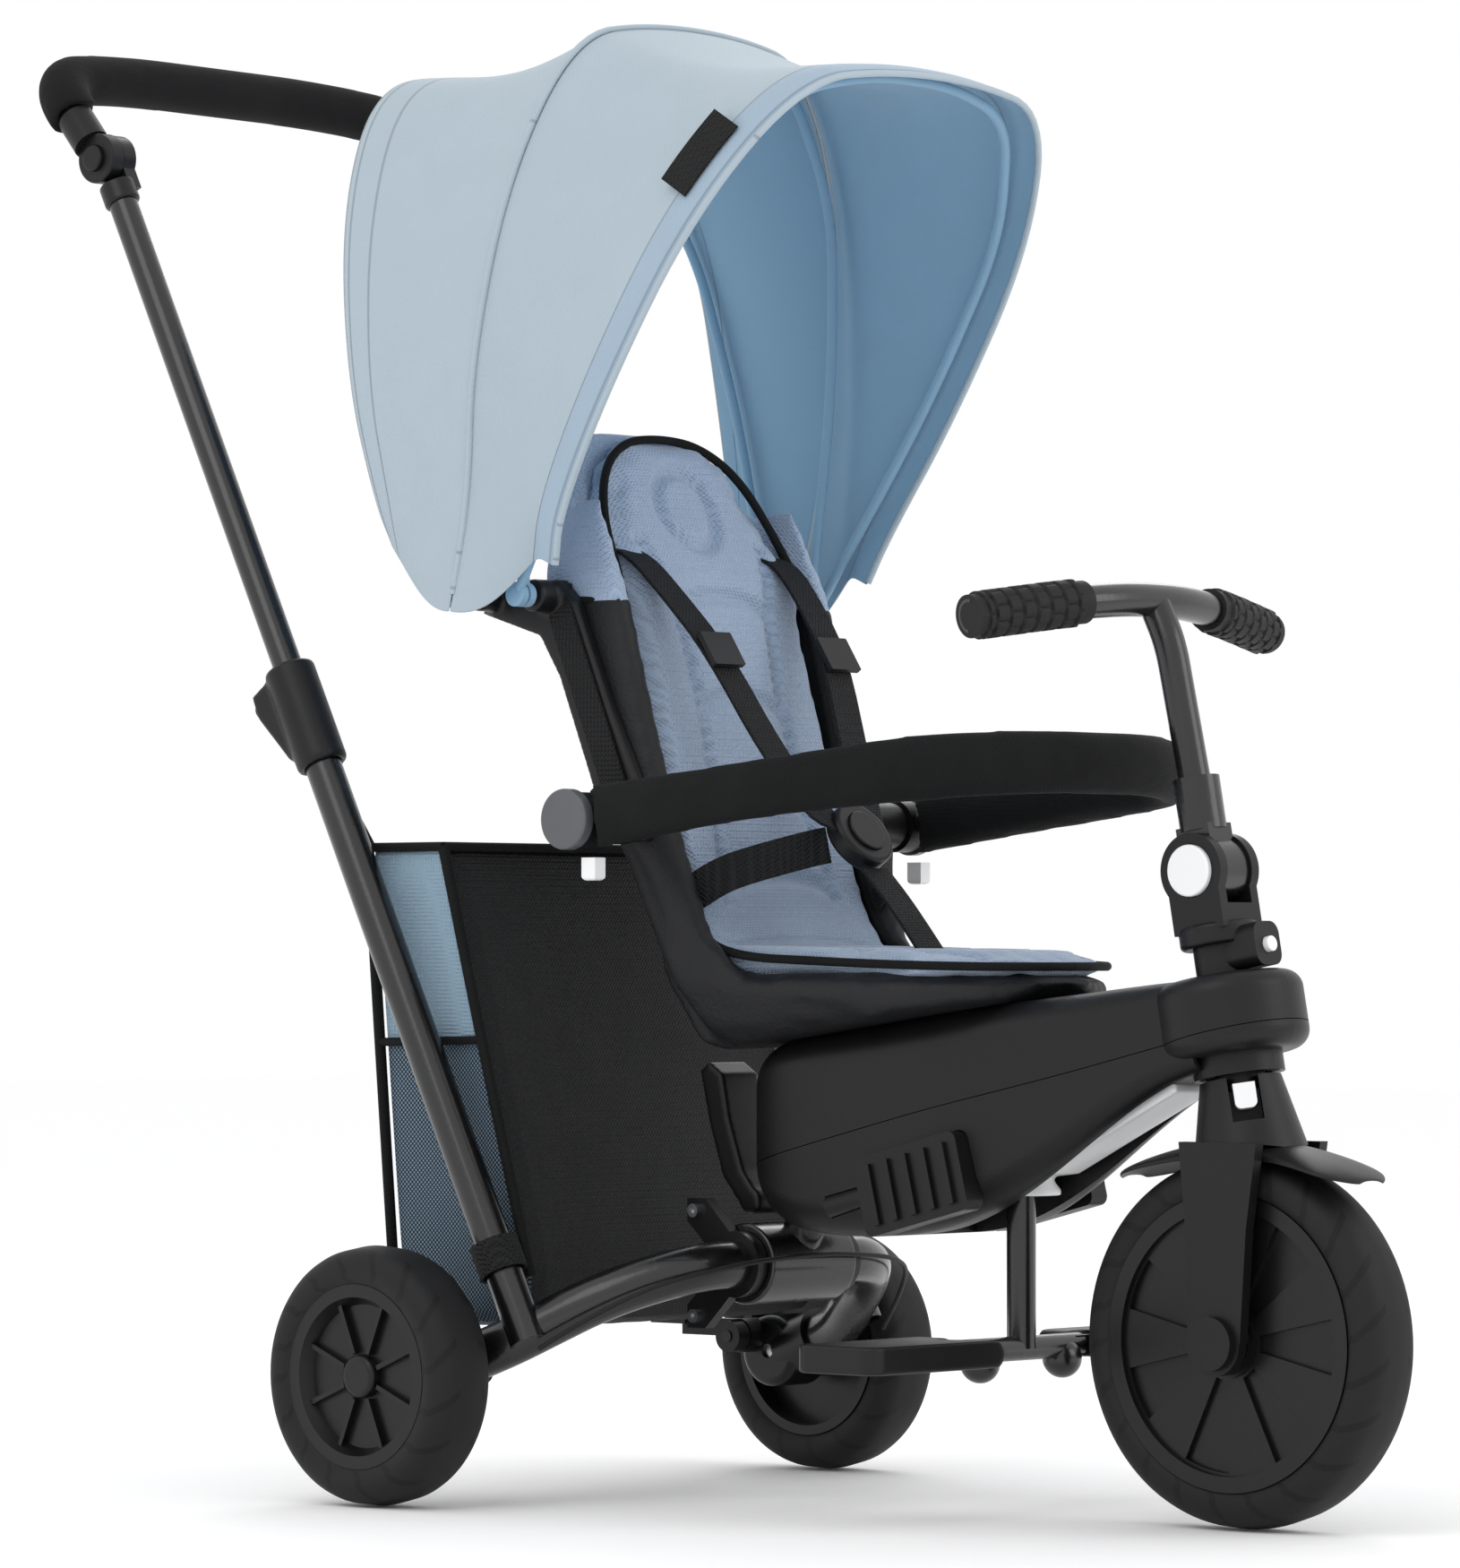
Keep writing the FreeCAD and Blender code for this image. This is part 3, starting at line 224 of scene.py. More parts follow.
def net(name, code, back):
    """Warp-knitted nylon net over a lining: round holes in a black mesh."""
    material = finish(name, code, 0.7, grained(0.0034), 0.0003, Specular_IOR_Level=0.3)
    tree = material.node_tree
    spot = add(tree, "ShaderNodeTexCoord").outputs["Object"]
    axes = add(tree, "ShaderNodeSeparateXYZ", {0: spot}).outputs
    turn = math.pi / 0.0032      # holes 3.2 mm apart, as coarse as they need to show
    a = maths(tree, "SINE", maths(tree, "MULTIPLY", maths(tree, "ADD", axes[0], axes[2]), turn))
    b = maths(tree, "SINE",
              maths(tree, "MULTIPLY", maths(tree, "SUBTRACT", axes[0], axes[2]), turn))
    hole = maths(tree, "GREATER_THAN",
                 maths(tree, "ABSOLUTE", maths(tree, "MULTIPLY", a, b)), NET_HOLE)
    mix = add(tree, "ShaderNodeMix", data_type="RGBA")
    tree.links.new(hole, mix.inputs[0])
    mix.inputs[6].default_value, mix.inputs[7].default_value = linear(code), linear(back)
    tree.links.new(mix.outputs[2], tree.nodes["Principled BSDF"].inputs["Base Color"])
    return material


def make_materials(colours):
    # Powder-coated steel: smooth semi-gloss black with a faint orange peel.
    finish("powder_coated_steel", colours.paint, 0.27, speckled(0.004), 0.00012, Coat_Weight=0.35,
           Coat_Roughness=0.12)
    # Injection-moulded polypropylene: spark-eroded grain, so a soft wide highlight.
    finish("grained_polypropylene", colours.plastic, 0.42, grained(0.0011), 0.00007,
           Specular_IOR_Level=0.32)
    # Moulded ABS: finer grain and a tighter highlight, for wheels, clamps and buttons.
    finish("moulded_abs", "#0F0F11", 0.33, grained(0.0009), 0.00004, Specular_IOR_Level=0.35)
    # Closed-cell foam sleeve: dead matt with tiny pores.
    finish("cellular_foam", "#0E0E10", 0.93, speckled(0.0012), 0.0004, Specular_IOR_Level=0.3)
    # Foamed EVA tyre: matt, slightly grey, with chevron cuts in the tread that are darkened with
    # painted shade.
    finish("eva_tyre_tread", colours.rubber, 0.62, chevrons(0.034, 0.006, 0.05), 0.0016,
           place="UV", painted_groove_shade=0.85, Specular_IOR_Level=0.3)
    # Moulded elastomer for grips and bushes.
    finish("elastomer", colours.rubber, 0.6, grained(0.0009), 0.00008, Specular_IOR_Level=0.3)
    # Polyester canopy cloth: plain weave drawn at 1.4 mm so that it shows, sewn lines by the hem
    # darkened with painted shade.
    finish("polyester_canopy", colours.canopy, 0.85, hemmed(0.0014, (0.004, 0.028, 0.32)),
           0.0006, mottle=0.04, place="UV", painted_groove_shade=0.5, Sheen_Weight=0.15, Sheen_Roughness=0.5)
    # The inside of the same cloth: its deeper blue is painted light, shining through the cloth. Its
    # sewn lines are darkened with painted shade.
    finish("lit_through_lining", colours.lit_through_inside, 0.85, hemmed(0.0014, (0.028, 0.32)),
           0.0006, mottle=0.04, place="UV", painted_groove_shade=0.5, Sheen_Weight=0.15, Sheen_Roughness=0.5)
    # The same cloth doubled over at the front hem, coloured a shade deeper as painted shade, since
    # less light comes through two layers.
    finish("shaded_hem_cloth", "#9BAFC0", 0.85, hemmed(0.0014, (0.004, 0.028)), 0.0006,
           mottle=0.04, place="UV", painted_groove_shade=0.5, Sheen_Weight=0.15, Sheen_Roughness=0.5)
    # Brushed knit over foam: soft and matt, very slightly mottled.
    finish("brushed_knit", colours.liner, 0.88, woven(0.0015), 0.0003, mottle=0.05,
           Sheen_Weight=0.35, Sheen_Roughness=0.4)
    finish("coated_nylon_blue", colours.side, 0.6, woven(0.0013), 0.0003, mottle=0.05,
           Sheen_Weight=0.2)
    # Coated polyester: black with a leathery grain that glints a little.
    finish("coated_polyester_black", colours.black, 0.55, grained(0.0022), 0.0003,
           Specular_IOR_Level=0.35)
    # Smooth stretch knit for the bar's cover and bindings: takes nearly no light.
    finish("stretch_knit_black", "#0C0D0E", 0.85, woven(0.0015), 0.0001,
           Specular_IOR_Level=0.25)
    finish("oxford_nylon_black", "#141517", 0.62, woven(0.0015), 0.0003,
           Specular_IOR_Level=0.35)
    # Polyester webbing: ribbed across.
    finish("ribbed_webbing", "#121315", 0.75, woven(0.0016), 0.0006, Specular_IOR_Level=0.35)
    net("knitted_net", "#101114", "#6F8699")
    # Glossy white ABS: clean highlights for the buttons.
    finish("gloss_white_abs", "#EDEEEF", 0.25, grained(0.002), 0.00002, mottle=0.01)
    finish("satin_grey_abs", "#55565A", 0.4, grained(0.001), 0.00005)
    # Bright zinc-plated steel.
    finish("zinc_plated_steel", "#B4B6B9", 0.28, speckled(0.002), 0.00005, Metallic=1.0)


SLOT_FINISH = {
    "black_paint": "powder_coated_steel", "black_plastic": "grained_polypropylene",
    "foam": "cellular_foam", "tyre": "elastomer", "blue_fabric": "brushed_knit",
    "black_fabric": "coated_polyester_black", "webbing": "ribbed_webbing",
    "white_plastic": "gloss_white_abs", "grey_plastic": "satin_grey_abs",
    "steel": "zinc_plated_steel", "rubber": "elastomer", "bush": "moulded_abs",
}


def dress_frame():
    """Gives each kept node the finish of its slot."""
    for part in frame["record"]["subparts"]:
        dress(frame["nodes"][part["node"]], SLOT_FINISH[part["material_slot"]])
    for name in ("rim_rear_left", "rim_rear_right", "rim_front", "wheel_knuckles",
                 "hinge_clamp", "handle_sockets"):
        dress(frame["nodes"][name], "moulded_abs")
    for name in ("rear", "middle", "front"):     # each bow runs in a sewn sleeve of the lining
        dress(frame["nodes"]["canopy_bow_" + name], "lit_through_lining")


def dress(thing, *names):
    slots = thing.data.materials
    while len(slots) > len(names):
        slots.pop()
    for n, name in enumerate(names):
        if n < len(slots):
            slots[n] = bpy.data.materials[name]
        else:
            slots.append(bpy.data.materials[name])


# --------------------------------------------------------------- mesh helpers
def finished(name, bm, body, slot, *materials, sharp=40, replaces=()):
    """Turns a bmesh into a piece that rides on a body."""
    bmesh.ops.recalc_face_normals(bm, faces=bm.faces)
    for face in bm.faces:
        face.smooth = True
    for edge in bm.edges:
        edge.smooth = edge.calc_face_angle(0) < math.radians(sharp)
    mesh = bpy.data.meshes.new(name)
    bm.to_mesh(mesh)
    bm.free()
    thing = bpy.data.objects.new(name, mesh)
    bpy.context.scene.collection.objects.link(thing)
    dress(thing, *materials)
    if body:
        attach(thing, body)
    if replaces:
        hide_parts(*replaces)
    return thing


def eased(points, rounds=3):
    """A line whose corners are cut again and again until it is a smooth curve."""
    for _ in range(rounds):
        cut = [points[0]]
        for a, b in zip(points, points[1:]):
            cut += [a.lerp(b, 0.25), a.lerp(b, 0.75)]
        points = cut + [points[-1]]
    return points


def both_sides(half):
    """A route from its near end to its middle, carried on to the far end."""
    route = [at(x, -y, z) for x, y, z in half]
    return route + [at(x, y, z) for x, y, z in reversed(half)]


def extruded_rows(rows, closed=False, capped=False):
    """A surface made by extruding a row of edges from row to row, with UVs in metres."""
    bm = bmesh.new()
    line = [bm.verts.new(p) for p in rows[0]]
    spot = {vert: (0, j) for j, vert in enumerate(line)}
    ring = [bm.edges.new(ends) for ends in zip(line, line[1:] + line[:1] * closed)]
    ends = [list(ring)]
    for i, row in enumerate(rows[1:], 1):
        made = bmesh.ops.extrude_edge_only(bm, edges=ring)["geom"]
        fresh = {g for g in made if isinstance(g, bmesh.types.BMVert)}
        line = [next(e.other_vert(v) for e in v.link_edges if e.other_vert(v) in fresh)
                for v in line]
        for j, (vert, place) in enumerate(zip(line, row)):
            vert.co = place
            spot[vert] = (i, j)
        ring = [bm.edges.get(pair) for pair in zip(line, line[1:] + line[:1] * closed)]
    ends.append(list(ring))
    down, over = [0.0], [0.0]
    middle = len(rows[0]) // 2
    for a, b in zip(rows, rows[1:]):
        down.append(down[-1] + (b[middle] - a[middle]).length)
    widest = rows[len(rows) // 2]
    for a, b in zip(widest, widest[1:] + widest[:1] * closed):
        over.append(over[-1] + (b - a).length)
    layer = bm.loops.layers.uv.new("cloth")
    for face in bm.faces:
        columns = [spot[v][1] for v in face.verts]
        wraps = closed and max(columns) - min(columns) > 1
        for loop in face.loops:
            i, j = spot[loop.vert]
            loop[layer].uv = (over[len(rows[0]) if wraps and j == 0 else j], down[i])
    if capped:
        for edges in ends:
            bmesh.ops.contextual_create(bm, geom=edges)
    return bm


def tube_rows(line, section):
    """Rings of points round a line: section(t) gives offsets across and up at 0..1."""
    rows = []
    for n, place in enumerate(line):
        ahead = line[min(n + 1, len(line) - 1)] - line[max(n - 1, 0)]
        ahead.normalize()
        side = ahead.cross(Vector((0, 0, 1)))
        side = side.normalized() if side.length > 0.05 else Vector((0, 1, 0))
        up = side.cross(ahead)
        rows.append([place + side * a + up * b for a, b in section(n / (len(line) - 1))])
    return rows


def oval(a, b, count=16):
    turn = math.tau / count
    return [(a * math.cos(n * turn), b * math.sin(n * turn)) for n in range(count)]


def cord_line(name, line, radius, body, slot, material):
    bm = extruded_rows(tube_rows(line, lambda t: oval(radius, radius, 10)), closed=True,
                       capped=True)
    return finished(name, bm, body, slot, material)


def strap(name, line, width, thickness, across, body, material="ribbed_webbing"):
    """Flat webbing along a line, lying across a given direction."""
    rows = []
    for n, place in enumerate(line):
        ahead = line[min(n + 1, len(line) - 1)] - line[max(n - 1, 0)]
        side = across - ahead.normalized() * across.dot(ahead.normalized())
        side.normalize()
        up = ahead.cross(side).normalized() * thickness / 2
        reach = side * width / 2
        rows.append([place - reach - up, place + reach - up, place + reach + up,
                     place - reach + up])
    return finished(name, extruded_rows(rows, closed=True, capped=True), body, "webbing",
                    material, sharp=60)


def block(name, low, high, bevel, body, slot, material):
    """A bevelled moulding between two corners, in millimetres."""
    bm = bmesh.new()
    bmesh.ops.create_cube(bm, size=1)
    a, b = at(*low), at(*high)
    bmesh.ops.scale(bm, vec=b - a, verts=bm.verts)
    bmesh.ops.translate(bm, vec=(a + b) / 2, verts=bm.verts)
    bmesh.ops.bevel(bm, geom=bm.edges[:], offset=bevel / 1000, segments=3, profile=0.5,
                    affect="EDGES", material=-1)
    return finished(name, bm, body, slot, material)


def apply_modifiers(thing):
    bpy.context.view_layer.update()
    graph = bpy.context.evaluated_depsgraph_get()
    mesh = bpy.data.meshes.new_from_object(thing.evaluated_get(graph))
    thing.modifiers.clear()
    thing.data = mesh


BLOW_FRAMES = 20               # frames for which a pad is blown up


def stuffed(name, node, body, material, voxel=0.005, pressure=3.0, cap=0.006,
            ease=6):
    """A pad made from a node's solid: remeshed, eased, then blown up a little."""
    thing = bpy.data.objects.new(name, frame["nodes"][node].data.copy())
    bpy.context.scene.collection.objects.link(thing)
    bm = bmesh.new()
    bm.from_mesh(thing.data)
    bmesh.ops.remove_doubles(bm, verts=bm.verts, dist=0.00005)
    bm.to_mesh(thing.data)
    bm.free()
    remesh = thing.modifiers.new("voxels", "REMESH")
    remesh.mode, remesh.voxel_size = "VOXEL", voxel
    soften = thing.modifiers.new("ease", "SMOOTH")
    soften.factor, soften.iterations = 0.5, ease
    apply_modifiers(thing)
    before = [v.co.copy() for v in thing.data.vertices]
    cloth = thing.modifiers.new("blow", "CLOTH")
    cloth.settings.use_pressure = True
    cloth.settings.uniform_pressure_force = pressure
    cloth.settings.effector_weights.gravity = 0
    cloth.point_cache.frame_start, cloth.point_cache.frame_end = 1, BLOW_FRAMES
    for n in range(1, BLOW_FRAMES + 1):
        bpy.context.scene.frame_set(n)
    apply_modifiers(thing)
    bpy.context.scene.frame_set(1)
    for vert, start in zip(thing.data.vertices, before):
        moved = vert.co - start
        if moved.length > cap:
            vert.co = start + moved.normalized() * cap
    finer = thing.modifiers.new("finer", "SUBSURF")
    finer.levels = finer.render_levels = 1
    apply_modifiers(thing)
    for face in thing.data.polygons:
        face.use_smooth = True
    dress(thing, material)
    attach(thing, body)
    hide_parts(node)
    return thing


def moulded(node, body, material="grained_polypropylene", voxel=0.0016,
            ease=5):
    """A kept shape with the soft corners that a moulding has, as the piece to be seen."""
    thing = bpy.data.objects.new(f"moulded_{node}", frame["nodes"][node].data.copy())
    bpy.context.scene.collection.objects.link(thing)
    bm = bmesh.new()
    bm.from_mesh(thing.data)
    bmesh.ops.remove_doubles(bm, verts=bm.verts, dist=0.00005)
    bm.to_mesh(thing.data)
    bm.free()
    remesh = thing.modifiers.new("voxels", "REMESH")
    remesh.mode, remesh.voxel_size = "VOXEL", voxel
    soften = thing.modifiers.new("ease", "SMOOTH")
    soften.factor, soften.iterations = 0.5, ease
    apply_modifiers(thing)
    for face in thing.data.polygons:
        face.use_smooth = True
    dress(thing, material)
    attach(thing, body)
    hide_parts(node)


def groove(thing, lines, facing, width, depth):
    """Presses sewn channels into the side of a pad that faces one way."""
    def flat(place):
        return place - facing * place.dot(facing)
    points = [flat(p) for line in lines for a, b in zip(line, line[1:])
              for p in (a.lerp(b, n / 6) for n in range(6))]
    tree = KDTree(len(points))
    for n, point in enumerate(points):
        tree.insert(point, n)
    tree.balance()
    normals = [v.normal.copy() for v in thing.data.vertices]
    for vert, normal in zip(thing.data.vertices, normals):
        distance = tree.find(flat(vert.co))[2]
        if distance < width and normal.dot(facing) > 0.45:
            vert.co -= normal * depth * (0.5 + 0.5 * math.cos(math.pi * distance / width))


# --------------------------------------------------------------------- wheels
def tyre_shape(name, node, body, centre, outer, inner, half, shoulder):
    """A tyre spun from its section, with flat sides and a crowned tread."""
    section = [(inner, -half + 0.003), (inner + 0.004, -half)]
    for n in range(7):
        a = n / 6 * math.pi / 2
        section.append((outer - shoulder + shoulder * math.sin(a) - 0.0015,
                        -half + shoulder * (1 - math.cos(a))))
    section.append((outer, 0))
    section += [(r, -y) for r, y in reversed(section[:-1])]
    rows = []
    for n in range(128):
        a = n / 128 * math.tau
        rows.append([centre + Vector((r * math.cos(a), y, r * math.sin(a)))
                     for r, y in section])
    lengths = [0.0]
    for (r0, y0), (r1, y1) in zip(section, section[1:]):
        lengths.append(lengths[-1] + math.hypot(r1 - r0, y1 - y0))
    bm = bmesh.new()
    first = [bm.verts.new(p) for p in rows[0]]
    edges = [bm.edges.new(pair) for pair in zip(first, first[1:])]
    bmesh.ops.spin(bm, geom=first + edges, cent=centre, axis=(0, -1, 0), dvec=(0, 0, 0),
                   angle=math.tau, steps=128, use_merge=True)
    layer = bm.loops.layers.uv.new("cloth")
    across = {round(y, 6): length for (r, y), length in zip(section, lengths)}
    middle = lengths[len(lengths) // 2]
    for face in bm.faces:
        centre_angle = math.atan2(*(face.calc_center_median() - centre).zx)
        for loop in face.loops:
            offset = loop.vert.co - centre
            angle = math.atan2(offset.z, offset.x)
            if angle - centre_angle > math.pi:
                angle -= math.tau
            elif centre_angle - angle > math.pi:
                angle += math.tau
            side = across[min(across, key=lambda y: abs(y - offset.y))]
            loop[layer].uv = (angle * outer, 0.05 + (side - middle))
    return finished(name, bm, body, "tyre", "eva_tyre_tread", replaces=(node,), sharp=50)


def make_tyres():
    for side, y in (("left", 225.5), ("right", -225.5)):
        tyre_shape(f"rear_tyre_{side}", f"tyre_rear_{side}", f"rear_wheel_{side}",
                   at(0, y, 85.3), 0.0853, 0.0606, 0.0245, 0.013)
    tyre_shape("front_tyre", "tyre_front", "front_wheel", at(546, 0, 118), 0.118, 0.0941,
               0.02535, 0.015)


def make_mudguard():
    """A guard like a cap's brim: a smooth crown with its edges turned down."""
    rows = []
    for n in range(17):
        t = n / 16
        ends = abs(2 * t - 1)
        x, crown = 453 + 190 * t, 245 - 23 * ends ** 2.2
        wide = 28 + 6 * min(1, max(0, (ends - 0.35) / 0.4)) - 22 * max(0, (ends - 0.8) / 0.2) ** 2
        lip = 11 - 8 * ends ** 3
        row = [at(x, -wide, crown - lip)]
        for m in range(9):
            across = m / 4 - 1
            row.append(at(x, across * (wide - 0.8), crown - 0.65 * lip * abs(across) ** 2.6))
        rows.append(row + [at(x, wide, crown - lip)])
    guard = finished("wheel_guard", extruded_rows(rows[::-1]), "steering", "black_plastic",
                     "grained_polypropylene", replaces=("mudguard",))
    wall = guard.modifiers.new("wall", "SOLIDIFY")
    wall.thickness, wall.offset = 0.0022, -1
    finer = guard.modifiers.new("finer", "SUBSURF")
    finer.levels = finer.render_levels = 2
    apply_modifiers(guard)


def make_mouldings():
    make_mudguard()
    for node, body in (("tube_collars", "rear_frame"), ("fold_lever", "fold_lever"),
                       ("seat_carriers", "chassis"), ("footrest_pad_right", "footrest_pad_right"),
                       ("footrest_pad_left", "footrest_pad_left")):
        moulded(node, body)
    moulded("underside_plate", "chassis", "gloss_white_abs")


def make_brake_cable():
    """The link between the rear wheels' brakes, round the front of the arc tube."""
    route = both_sides([(96, 174, 104), (144, 144, 140), (186, 88, 158), (192, 24, 163)])
    curve = bpy.data.curves.new("brake_link", "CURVE")
    curve.dimensions, curve.bevel_depth, curve.bevel_resolution = "3D", 0.0016, 4
    curve.use_fill_caps = True
    spline = curve.splines.new("NURBS")
    spline.points.add(len(route) - 1)
    for point, place in zip(spline.points, route):
        point.co = (*place, 1)
    spline.order_u, spline.use_endpoint_u, spline.resolution_u = 3, True, 12
    cable = bpy.data.objects.new("brake_link", curve)
    bpy.context.scene.collection.objects.link(cable)
    dress(cable, "elastomer")
    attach(cable, "rear_frame")
    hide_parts("brake_cable")


# --------------------------------------------------------------------- canopy
RIBS = {
    "rear": (-16.5, 5.0, 158.0, 373.0, (-44, 168, 636), 36, 6),
    "middle": (3.0, 55.0, 144.0, 377.0, (14, 173, 589), 24, 16),
    "front": (32.5, 55.0, 151.5, 400.0, (80, 158, 624), 0, 0),
}


def rib_line(name, proud=9.0):
    """The cloth over one rib, from the near lower edge over the top to the far one."""
    angle, foot, spread, top, hem, bulge, out = RIBS[name]
    lean = math.radians(angle)
    spread, top = spread + proud, top + proud
    half = [hem]
    for y, h, back in [(spread + 6, 0.17 * top, 1), (spread + 15, 0.4 * top, 0.85),
                       (spread + 9, 0.72 * top, 0.3), (spread - 38, 0.965 * top, 0), (44, top, 0)]:
        half.append((foot + h * math.sin(lean) - bulge * back, y + out * back,
                     600 + h * math.cos(lean)))
    return eased(both_sides(half), 3)


def canopy_panel(name, first, last, steps, sag):
    """The cloth between two ribs, sagging between them, with its lower edge rounded."""
    a, b = rib_line(first), rib_line(last)
    heart = at(60, 0, 720)
    rows = []
    for n in range(steps + 1):
        t = n / steps
        row = []
        for p, q in zip(a, b):
            place = p.lerp(q, t)
            inward = (heart - place).normalized()
            high = min(1, max(0, (place.z - 0.62) / 0.25))
            place += inward * sag * math.sin(math.pi * t) * high
            low = max(0, 1 - (place.z - 0.58) / 0.09)
            place.z -= 0.016 * math.sin(math.pi * t) * low
            row.append(place)
        rows.append(row)
    if last == "front":
        front = rows[-1]
        for k in (1, 2):
            rows.append([p + Vector((0.0075 * k, 0, -0.0035 * k)) for p in front])
    rows = rows[::-1] if last == "front" else rows
    thing = finished(name, extruded_rows(rows), None, None, "polyester_canopy",
                     "lit_through_lining", sharp=75)
    wall = thing.modifiers.new("wall", "SOLIDIFY")
    wall.thickness, wall.offset = 0.0013, 1
    wall.material_offset, wall.use_rim = 1, True
    finer = thing.modifiers.new("finer", "SUBSURF")
    finer.levels = finer.render_levels = 1
    apply_modifiers(thing)
    # The hem's faces get the darker, painted-shade copy of the canopy cloth.
    if last == "front":
        thing.data.materials.append(bpy.data.materials["shaded_hem_cloth"])
        uv = thing.data.uv_layers[0].data
        for face in thing.data.polygons:
            if face.material_index == 0 and max(uv[k].uv.y for k in face.loop_indices) < 0.03:
                face.material_index = 2
    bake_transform(thing)
    return thing


def make_canopy(sizes):
    rear = canopy_panel("canopy_cloth_rear", "rear", "middle", 8, sizes.scallop)
    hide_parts("canopy_panel_rear")
    front = canopy_panel("canopy_cloth_front", "middle", "front", 10, sizes.scallop)
    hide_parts("canopy_panel_front")
    near = [p for p in rib_line("front", 11.5) if p.y < 0 and 0.845 < p.z < 0.9]
    strap("canopy_tab", eased([p - Vector((0.010, 0, -0.005)) for p in near], 1), 0.024, 0.0016,
          Vector((0.88, 0, -0.48)), "canopy_front")
    for name, body in (("middle", "canopy_middle"), ("front", "canopy_front")):
        line = [p for p in rib_line(name, 10.5)][4:-4]
        if name == "front":
            line = [p + Vector((0.0155, 0, -0.0075)) for p in rib_line(name, 9.5)][2:-2]
        cord_line(f"canopy_binding_{name}", line, 0.0022, body, "blue_fabric",
                  "polyester_canopy")


# ----------------------------------------------------------------------- seat
def back_at(height):
    """The liner's front face at a height, as its X, read off the seat's own slope."""
    slope = [(362, 171), (384, 155), (436, 139), (503, 121), (612, 92), (660, 64), (719, 41)]
    for (z0, x0), (z1, x1) in zip(slope, slope[1:]):
        if height <= z1:
            return x0 + (x1 - x0) * (height - z0) / (z1 - z0)
    return slope[-1][1]


def on_back(y, z, proud=2.0):
    return at(back_at(z) + proud, y, z)


def liner_channels():
    """The sewn lines on the liner's back and seat: waisted panels with arched channels."""
    lines, seat = [], []
    for side in (-1, 1):
        lines.append([on_back(side * y, z) for y, z in
                      [(60, 640), (46, 590), (41, 540), (43, 480), (50, 430), (56, 395)]])
        seat.append([at(x, side * y, 358) for x, y in [(178, 60), (240, 66), (330, 66),
                                                       (380, 50)]])
    for base, wide, rise in ((588, 46, 16), (520, 41, 16), (452, 47, 16), (400, 55, 14)):
        lines.append([on_back(wide * math.sin(a), base + rise * math.cos(a))
                      for a in [n * math.pi / 16 - math.pi / 2 for n in range(17)]])
    for x in (225, 275, 325):
        seat.append([at(x + 14 * math.cos(a), 64 * math.sin(a), 358)
                      for a in [n * math.pi / 16 - math.pi / 2 for n in range(17)]])
    emblem = [on_back(26 * math.sin(a), 664 + 26 * math.cos(a)) for a in
              [n * math.tau / 32 for n in range(33)]]
    return lines + [emblem], seat


HEAD_SEAM = 597               # height of the seam round the head of the seat


def make_seat(sizes):
    stuffed("seat_bucket", "seat_shell", "chassis", "coated_polyester_black",
            voxel=0.0055, pressure=1.5, cap=0.003)
    bucket = bpy.data.objects["seat_bucket"]
    bucket.data.materials.append(bpy.data.materials["brushed_knit"])
    for face in bucket.data.polygons:          # the head of the seat is cased in pale knit
        face.material_index = int(face.center.z > HEAD_SEAM / 1000)
    around = [(97, 96), (92, 109), (70, 111), (44, 111), (40, 100), (42, 74), (43, 30)]
    seam = [at(x, -y, HEAD_SEAM) for x, y in around] + [at(x, y, HEAD_SEAM)
                                                        for x, y in reversed(around)]
    cord_line("seat_head_piping", eased(seam, 2), 0.0026, "chassis", "black_fabric",
              "stretch_knit_black")
    liner = stuffed("quilted_liner", "seat_liner", "chassis", "brushed_knit",
                    voxel=0.0045, pressure=3.0, cap=sizes.puff, ease=3)
    back_lines, seat_lines = liner_channels()
    groove(liner, back_lines, Vector((1, 0, 0)), 0.0085, sizes.quilt)
    groove(liner, seat_lines, Vector((0, 0, 1)), 0.0085, sizes.quilt)
    edge = [(404, 0, 354), (402, 26, 354), (384, 66, 354), (342, 92, 355), (280, 92, 357),
            (180, 91, 361), (157, 91, 386), (140, 91, 436), (122, 91, 503), (94, 92, 608),
            (71, 85, 652), (56, 68, 688), (47, 38, 708), (45, 0, 712)]
    around = [at(x, -y, z) for x, y, z in edge] + [at(x, y, z) for x, y, z in edge[-2::-1]]
    cord_line("liner_piping", eased(around, 3), 0.003, "chassis", "black_fabric",
              "stretch_knit_black")


def make_harness():
    shoulder = [(66, -72, 634), (92, -74, 629), (120, -69, 600), (150, -60, 563),
                (184, -42, 495), (208, -25, 456), (218, -15, 448)]
    waist = [(158, -92, 402), (176, -84, 414), (192, -72, 421), (208, -30, 432), (214, -21, 434)]
    crotch = [(290, 0, 358), (275, 0, 376), (256, 0, 398), (236, 0, 418)]
    y_axis, z_axis = Vector((0, 1, 0)), Vector((0, 0, 1))
    first = None
    for side in (1, -1):
        word = "right" if side == 1 else "left"
        for label, route, across, width in (("shoulder", shoulder, y_axis, 0.025),
                                            ("waist", waist, z_axis, 0.024)):
            line = eased([at(x, side * y, z) for x, y, z in route], 2)
            made = strap(f"{label}_strap_{word}", line, width, 0.0022, across, "chassis")
            first = first or made
    strap("crotch_strap", eased([at(*p) for p in crotch], 2), 0.026, 0.0022, y_axis, "chassis")
    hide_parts("harness_straps")
    for side in (-1, 1):
        word = "right" if side == -1 else "left"
        line = eased([at(x, side * y, z) for x, y, z in
                      [(58, 113, 604), (66, 123, 590), (92, 123, 530), (122, 123, 458)]], 2)
        strap(f"side_strap_{word}", line, 0.02, 0.0022, Vector((1, 0, 0.3)), "chassis")


def make_safety_bar():
    stuffed("bar_cover", "safety_bar_cover", "safety_bar",
            "stretch_knit_black", voxel=0.004, pressure=2.0, cap=0.002, ease=4)


def make_handle_foam():
    stuffed("handle_sleeve", "handle_foam", "handle_grip", "cellular_foam",
            voxel=0.004, pressure=1.0, cap=0.001, ease=4)


